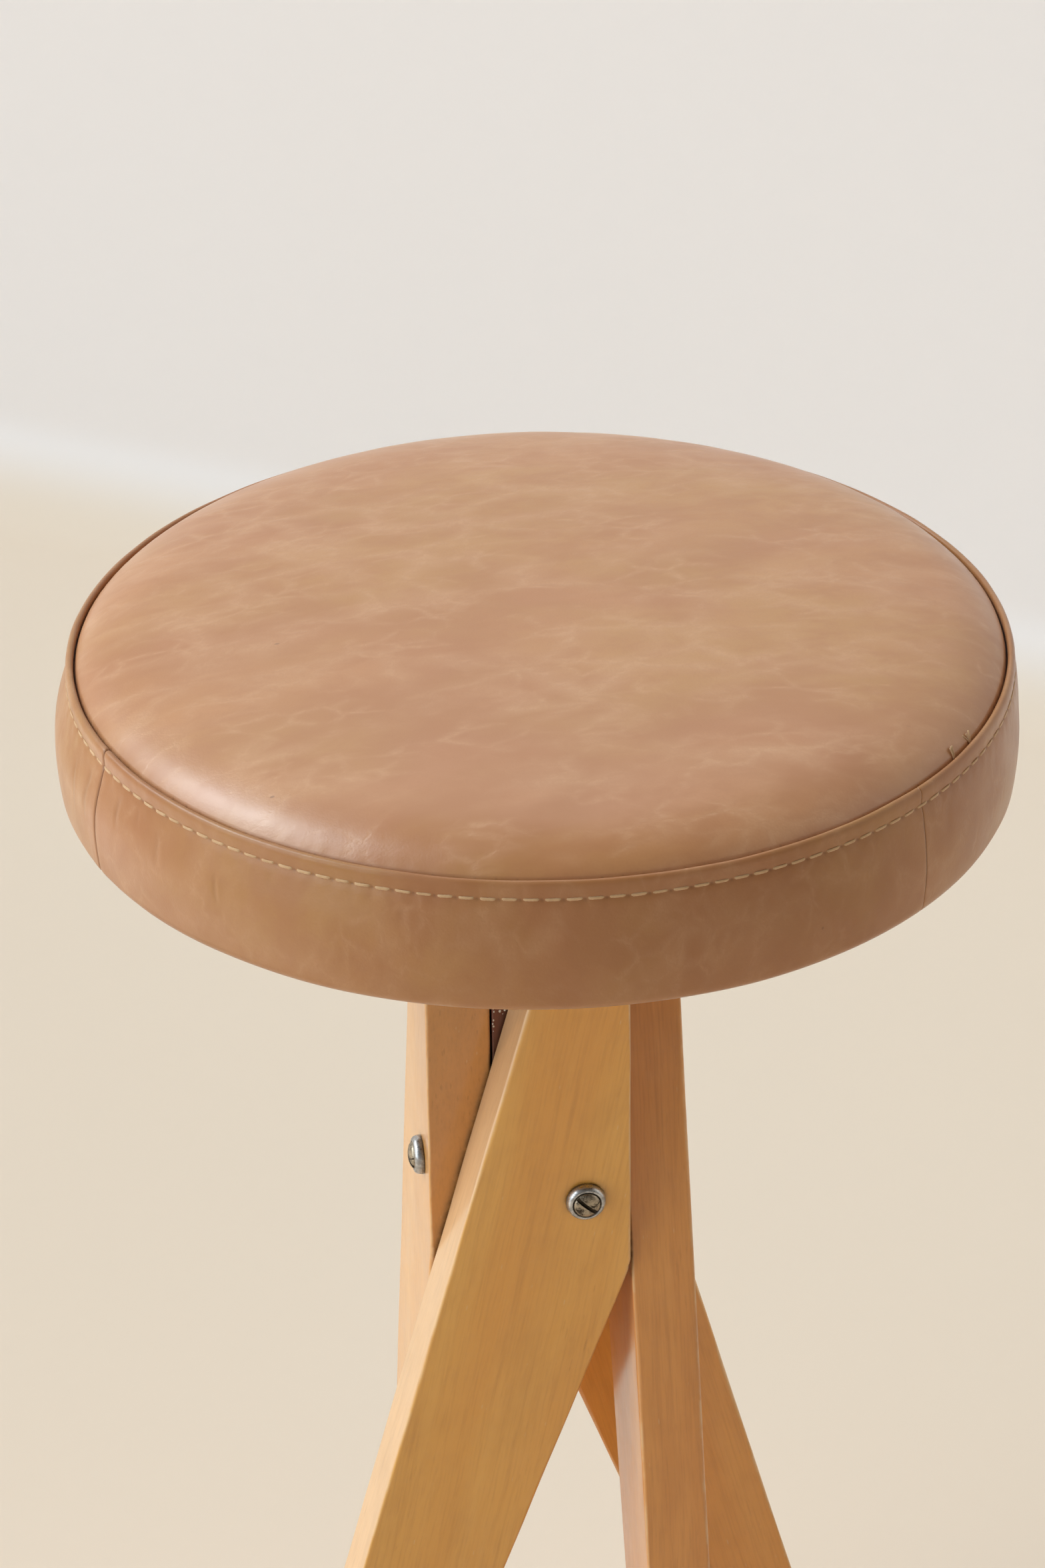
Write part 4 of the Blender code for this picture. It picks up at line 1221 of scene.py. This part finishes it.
def inner_x(z):
    return CUT_X + INNER_SLOPE * (z - KNEE_Z)


def leg_heights():
    """Heights of the sections, close together at both ends and at the knee."""
    return np.concatenate([
        LEG_BOTTOM_Z + np.array([0.0, 0.0005, 0.0012]),
        np.linspace(LEG_BOTTOM_Z + 0.004, KNEE_Z - 0.0035, 92),
        KNEE_Z + np.array([-0.0022, -0.0012, -0.0005, 0.0, 0.0005, 0.0012, 0.0022]),
        np.linspace(KNEE_Z + 0.0035, LEG_TOP_Z - 0.0015, 46),
        [LEG_TOP_Z - 0.0005, LEG_TOP_Z]])


def leg_section(z, phase, steps):
    """A rectangle with eased corners; its edges and radii wander by a few hundredths of a
    millimetre."""
    end = max(0.0, 1 - min(z - LEG_BOTTOM_Z, LEG_TOP_Z - z) / 0.0012)
    inset = 0.0009 * (1 - math.sqrt(max(0.0, 1 - end * end)))
    wobble = 0.00008 * np.sin(z * 31 + phase[:4]) + 0.00005 * np.sin(z * 83 + phase[4:8])
    x0 = outer_x(z) + inset + wobble[0] + 0.00012
    x1 = (inner_x(z) if z < KNEE_Z else CUT_X) - inset - abs(wobble[1])
    # the knee is a touch rounded
    x1 -= 0.00055 * bell((z - KNEE_Z) / 0.0016)
    y0 = FACE_Y + inset + abs(wobble[2]) * 0.5
    y1 = INNER_FACE_Y - inset - abs(wobble[3]) * 0.5
    radii = 0.00150 + 0.00028 * np.sin(z * 47 + phase[8:12])
    radii += 0.00016 * np.sin(z * 121 + phase[12:])
    # the arrises that butt on the next board are left crisper
    if z > KNEE_Z:
        radii[1:3] *= 0.75
    ring = []
    for r, (x, y, to_x, to_y, start) in zip(radii, (
            (x0, y0, 1, 1, 180), (x1, y0, -1, 1, 270), (x1, y1, -1, -1, 0), (x0, y1, 1, -1, 90))):
        turn = np.radians(start + 90 * steps)
        ring.append(polar(r, turn, z) + np.array([x + to_x * r, y + to_y * r, 0.0]))
    return np.vstack(ring)


def build_leg(k):
    side = SIDES[k]
    phase = np.random.default_rng(100 + k).uniform(0, TAU, 16)
    steps = np.arange(7) / 6        # along each rounded corner
    rings = np.array([leg_section(z, phase, steps) for z in leg_heights()])
    rows, cols = rings.shape[:2]
    verts = rings.reshape(-1, 3)
    caps = [list(range(cols))[::-1], list(range((rows - 1) * cols, rows * cols))]
    ob = mesh_object("leg_board_" + side, verts, grid_quads(rows, cols, True), (), caps)
    set_attr(ob, "arris", np.tile(np.sin(math.pi * steps) ** 1.5, 4 * rows))
    # darker towards the foot of the board
    set_attr(ob, "grime_and_shade", 0.45 * clamp(1 - (verts[:, 2] - LEG_BOTTOM_Z) / 0.012) ** 2)
    fix_normals(ob)
    even_shading(ob)
    ob.matrix_world = Matrix.Rotation(k * math.pi / 2, 4, "Z")
    done(ob, WOOD[side], "blond_wood", "leg_" + side)


def build_core():
    half, z0, z1 = core_hi.x, core_lo.z, core_hi.z
    bm = bmesh.new()
    bmesh.ops.create_cube(bm, size=1.0)
    bmesh.ops.scale(bm, verts=bm.verts, vec=(2 * half, 2 * half, z1 - z0))
    bmesh.ops.translate(bm, verts=bm.verts, vec=(0, 0, (z0 + z1) / 2))
    bmesh.ops.bevel(bm, geom=bm.edges[:], offset=0.0007, segments=3, affect="EDGES",
                    profile=0.5)
    ob = bmesh_object("core_post", bm)
    ob.data.shade_smooth()
    even_shading(ob)
    done(ob, CORE_WOOD, "core_wood", "core_block")


def build_glue():
    """Beads of old glue along the joints between the core and the boards."""
    rng = np.random.default_rng(51)
    bm = bmesh.new()
    half = core_hi.x
    for k in range(4):
        spots = []                  # x, z, radius
        for _ in range(26):
            z = rng.uniform(KNEE_Z + 0.092, LEG_TOP_Z - 0.004)
            spots.append((-half + rng.uniform(0.0001, 0.0012), z, rng.uniform(0.00016, 0.00040)))
        for _ in range(16):
            z = rng.uniform(KNEE_Z + 0.102, KNEE_Z + 0.150)
            spots.append((outer_x(z) - rng.uniform(0.0004, 0.0028), z,
                          rng.uniform(0.00018, 0.00050)))
        for _ in range(3):
            spots.append((-half + rng.uniform(-0.0004, 0.0010),
                          KNEE_Z + rng.uniform(0.0045, 0.0090), rng.uniform(0.0003, 0.0007)))
        for x, z, r in spots:
            shape = (r * rng.uniform(0.7, 1.2), r * 0.45, r * rng.uniform(0.9, 2.0), 1)
            bmesh.ops.create_icosphere(bm, subdivisions=2, radius=1.0, matrix=(
                Matrix.Rotation(k * math.pi / 2, 4, "Z")
                @ Matrix.Translation((x, -half - 0.00002, z)) @ Matrix.Diagonal(shape)))
    ob = bmesh_object("glue_beads", bm)
    ob.data.shade_smooth()
    done(ob, GLUE, "core_wood")


# =============================================================== screws, washers
SLOT_TURN = {"front": -43.0, "right": 21.0, "back": 64.0, "left": 148.0}    # degrees
UPPER_SLOT_TURN = 47.0
HEAD_RIM, HEAD_TOP, HEAD_R = 0.0034, 0.0055, 0.0052
SLOT_WIDTH, SLOT_DEPTH = 0.00155, 0.0016


def build_washer(row, side, place):
    """A cup washer: rolled outer edge, domed ring, narrow lip round the conical seat."""
    gap = 0.0003
    profile = [(0.00768, gap), (0.00770, 0.00075)]
    for i in range(1, 10):
        a = i / 9 * math.pi / 2
        profile.append((0.00590 + 0.00178 * math.cos(a), 0.00085 + 0.00285 * math.sin(a)))
    profile += [(0.00568, 0.00366), (0.00556, 0.00352), (0.00300, 0.00052), (0.00330, gap)]
    washer = lathe(f"{row}_washer_{side}", profile, 72, sharp=50, place=place)
    # painted shade: darker at the foot, where the washer sits on the wood, and round the seat of
    # the head
    x, y, z = points_of(washer.data).T
    set_attr(washer, "grime_and_shade", np.clip((0.0012 - z) / 0.0009, 0, 0.55)
             + (np.hypot(x, y) < 0.00575) * 0.5)
    done(washer, STEEL, "steel", f"{row}_cup_washer_{side}")


def build_wood_screw(row, side, place):
    """A slotted screw with a raised head and a pointed shank."""
    profile = [(0.0, -0.0450), (0.0010, -0.0428), (0.0024, -0.0390), (0.0024, 0.0004),
               (HEAD_R - 0.0002, HEAD_RIM - 0.00045), (HEAD_R, HEAD_RIM - 0.0002),
               (HEAD_R, HEAD_RIM)]
    for i in range(1, 12):
        a = i / 12 * math.pi / 2
        profile.append((HEAD_R * math.cos(a) ** 0.9,
                        HEAD_RIM + (HEAD_TOP - HEAD_RIM) * math.sin(a)))
    screw = lathe(f"{row}_wood_screw_{side}", profile + [(0.0, HEAD_TOP)], 64)
    turn = math.radians(SLOT_TURN[side] + (UPPER_SLOT_TURN if row == "upper" else 0.0))
    cutter_height = 0.006
    bm = bmesh.new()
    bmesh.ops.create_cube(bm, size=1.0, matrix=(
        Matrix.Rotation(turn, 4, "Z")
        @ Matrix.Translation((0, 0, HEAD_TOP - SLOT_DEPTH + cutter_height / 2))
        @ Matrix.Diagonal((0.016, SLOT_WIDTH, cutter_height, 1))))
    cut_with(screw, bm)
    screw.matrix_world = place
    shade_by_angle(screw, 42)
    # painted shade on the floor of the slot
    x, y, z = points_of(screw.data).T
    from_slot = math.cos(turn) * y - math.sin(turn) * x
    floor = (z > HEAD_TOP - 0.0018) & (z < HEAD_TOP - 0.0014)
    set_attr(screw, "grime_and_shade", ((np.abs(from_slot) < 0.00090) & floor) * 1.0)
    done(screw, BRASS, "screw_brass", f"{row}_screw_{side}")


def build_fasteners():
    for row, (x, z) in SCREWS.items():
        for k, side in enumerate(SIDES):
            # local Z points out of the board's face
            place = (Matrix.Rotation(k * math.pi / 2, 4, "Z")
                     @ Matrix.Translation((x, FACE_Y, z)) @ Matrix.Rotation(math.pi / 2, 4, "X"))
            build_washer(row, side, place)
            build_wood_screw(row, side, place)


GLIDE = (                           # radius, height
    (0.0, 0.0), (0.0062, 0.0), (0.0072, 0.00012), (0.0080, 0.00050), (0.0086, 0.0011),
    (0.0089, 0.0018), (0.0090, 0.0024), (0.0090, 0.0034), (0.0087, 0.0037), (0.0012, 0.0037),
    (0.0012, 0.0157), (0.0, 0.0187),
)


def build_glides():
    for side in SIDES:
        middle = centre_of("foot_glide_" + side)
        glide = lathe(f"nail_glide_{side}", GLIDE, 64, sharp=35,
                      place=Matrix.Translation((middle.x, middle.y, 0)))
        done(glide, NYLON, "glide_nylon", f"foot_glide_{side}")


# ===================================================================== the stool
build_top_panel()
for i, side in enumerate(("front", "right", "left")):
    build_band(i, side)
build_stitches()
build_thread_ends("seam_thread_end_a", degrees=-40.9, seed=4)
build_thread_ends("seam_thread_end_b", degrees=-36.7, seed=6)
build_foam()
build_base()
build_plate()
for k in range(4):
    build_seat_screw(f"seat_screw_{k + 1}", turn=0.35 + 1.1 * k)
    build_plate_screw(f"plate_screw_{SIDES[k]}")
build_dust_cover()
build_staples()
for k in range(4):
    build_leg(k)
build_core()
build_glue()
build_fasteners()
build_glides()


# ================================================================ floor and wall
WALL_LEFT = Vector((-0.1095392, 1.4543745, 0.0))    # two points on the line of the wall's foot
WALL_RIGHT = Vector((0.4853057, 1.0531345, 0.0))
SWEEP_HALF_WIDTH = 9.0
COVE = 0.06
APRON, APRON_Z = 12.0, -0.003


def stage_material():
    mat = Material("stage_paper")
    height = mat.node("SeparateXYZ", 2, {0: mat.place})
    rise = (0.004, 0.045)           # heights over which the floor's colour turns to the wall's
    up = mat.ramp(height, span=rise)
    soft = mat.ramp(mat.noise(mat.place, scale=0.9), span=(0.3, 0.7))
    floor = mat.mix(soft, (0.778, 0.648, 0.516), (0.797, 0.668, 0.534))
    soft = mat.ramp(soft.node.inputs["Value"].links[0].from_socket, span=(0.3, 0.7))
    wall = mat.mix(soft, (0.765, 0.710, 0.672), (0.785, 0.730, 0.692))
    mat.colour = mat.mix(up, floor, wall)
    # the wall glows a little
    mat.finish(0.95, Specular_IOR_Level=0.05, Emission_Color=(0.96, 0.98, 1.0, 1.0),
               Emission_Strength=mat.ramp(height, span=rise, to=(0.0, 0.11)))
    # clear to the camera from behind or below, so that every side of the stool can be seen
    hidden = mat.mul(mat.node("NewGeometry", "Backfacing"),
                     mat.node("LightPath", "Is Camera Ray"))
    surface = mat.node("MixShader", 0, {
        0: hidden, 1: mat.bsdf.outputs[0], 2: mat.node("BsdfTransparent", 0)})
    out = next(n for n in mat.tree.nodes if n.type == "OUTPUT_MATERIAL")
    mat.put(out.inputs["Surface"], surface)
    return mat.material


def build_stage():
    """A paper sweep: floor, cove and wall, and more floor round it for views from behind."""
    along = (WALL_RIGHT - WALL_LEFT).normalized()
    back = Vector((-along.y, along.x, 0))
    middle = (WALL_LEFT + WALL_RIGHT) / 2
    rows = [(-9.0, 0.0), (-4.0, 0.0), (-1.5, 0.0), (-COVE, 0.0)]    # distance back, height
    for i in range(1, 13):
        a = i / 12 * math.pi / 2
        rows.append((-COVE + COVE * math.sin(a), COVE * (1 - math.cos(a))))
    rows += [(0.0, 0.8), (0.0, 1.3)]
    verts = []
    for distance, z in rows:
        for across in (-SWEEP_HALF_WIDTH, SWEEP_HALF_WIDTH):
            point = middle + along * across + back * distance
            verts.append((point.x, point.y, z))
    first = len(verts)
    verts += [(x * APRON, y * APRON, APRON_Z) for x, y in ((-1, -1), (1, -1), (1, 1), (-1, 1))]
    quads = np.vstack([grid_quads(len(rows), 2, False), [np.arange(first, first + 4)]])
    stage = mesh_object("studio_sweep", verts, quads)
    stage.data.materials.append(stage_material())


# ========================================================================= light
# Soft lobes of light: azimuth from +X and elevation in degrees, tightness, red, green, blue
SKY = (
    # the bright window, a little cool, at the left and behind
    (172, 50, 40.0, 6.40, 7.35, 8.00),
    (150, 40, 30.0, 5.40, 5.98, 6.35),
    # the rest of the room
    (200, 2, 12.0, 2.35, 2.72, 3.00),
    (190, 30, 15.0, 1.74, 1.84, 1.92),
    (90, 50, 15.0, 1.50, 1.45, 1.38),
    (0, 15, 7.0, 1.30, 1.25, 1.14),
    (45, 38, 7.0, 0.48, 0.46, 0.43),
    (135, 6, 7.0, 0.56, 0.54, 0.50),
    (270, 6, 7.0, 0.30, 0.29, 0.27),
)
SKY_BASE = (0.0, 0.0, 0.0)


def build_sky():
    world = bpy.data.worlds.new("soft_room")
    bpy.context.scene.world = world
    world.use_nodes = True
    sky = Tree(world.node_tree)
    direction = sky.node("TexCoord", "Generated")
    total = None
    for azimuth, elevation, tight, *rgb in SKY:
        a, e = math.radians(azimuth), math.radians(elevation)
        toward = (math.cos(a) * math.cos(e), math.sin(a) * math.cos(e), math.sin(e))
        dot = sky.node("VectorMath", "Value", {0: direction, 1: toward},
                       operation="DOT_PRODUCT")
        fall = sky.node("Math", 0, {0: dot, 1: tight, 2: -tight}, operation="MULTIPLY_ADD")
        lobe = sky.node("Math", 0, {0: fall}, operation="EXPONENT")
        light = sky.node("VectorMath", 0, {0: rgb, "Scale": lobe}, operation="SCALE")
        if total is None:
            total = light
        else:
            total = sky.node("VectorMath", 0, {0: total, 1: light}, operation="ADD")
    total = sky.node("VectorMath", 0, {0: total, 1: SKY_BASE}, operation="ADD")
    background = sky.tree.nodes["Background"]
    sky.put(background.inputs[0], total)
    background.inputs[1].default_value = 1.0


def build_pool():
    """Light thrown up from the floor at the left, out of the camera's view."""
    pool = bpy.data.lights.new("floor_pool", "AREA")
    pool.shape = "RECTANGLE"
    pool.size, pool.size_y = 1.5, 1.9
    pool.energy = 7.0
    pool.color = (1.0, 0.96, 0.90)
    ob = bpy.data.objects.new("floor_pool", pool)
    ob.location = (-1.45, 0.20, 0.012)
    ob.rotation_euler = (math.pi, 0.0, 0.0)
    ob.visible_camera = False
    bpy.context.scene.collection.objects.link(ob)


# ======================================================================== camera
CAMERA_PLACE = Vector((-0.29293, -1.72334, 1.18443 + KNEE_Z))
CAMERA_FORWARD = Vector((0.14212143, 0.85737618, -0.49467928))
CAMERA_RIGHT = Vector((0.98536479, -0.17006015, -0.01165212))
CAMERA_UP = Vector((0.09411549, 0.48578353, 0.86899749))


def build_camera():
    data = bpy.data.cameras.new("camera")
    data.sensor_fit = "HORIZONTAL"
    data.sensor_width = 24.0
    data.lens = 122.4489796
    data.clip_start, data.clip_end = 0.05, 60.0
    camera = new_object("camera", data)
    axes = Matrix((CAMERA_RIGHT, CAMERA_UP, -CAMERA_FORWARD)).transposed()
    camera.matrix_world = Matrix.Translation(CAMERA_PLACE) @ axes.to_4x4()
    bpy.context.scene.camera = camera


build_stage()
build_sky()
build_pool()
build_camera()
view = bpy.context.scene.view_settings
view.view_transform = "Standard"
view.look = "None"
view.exposure = 0.0
view.gamma = 1.0
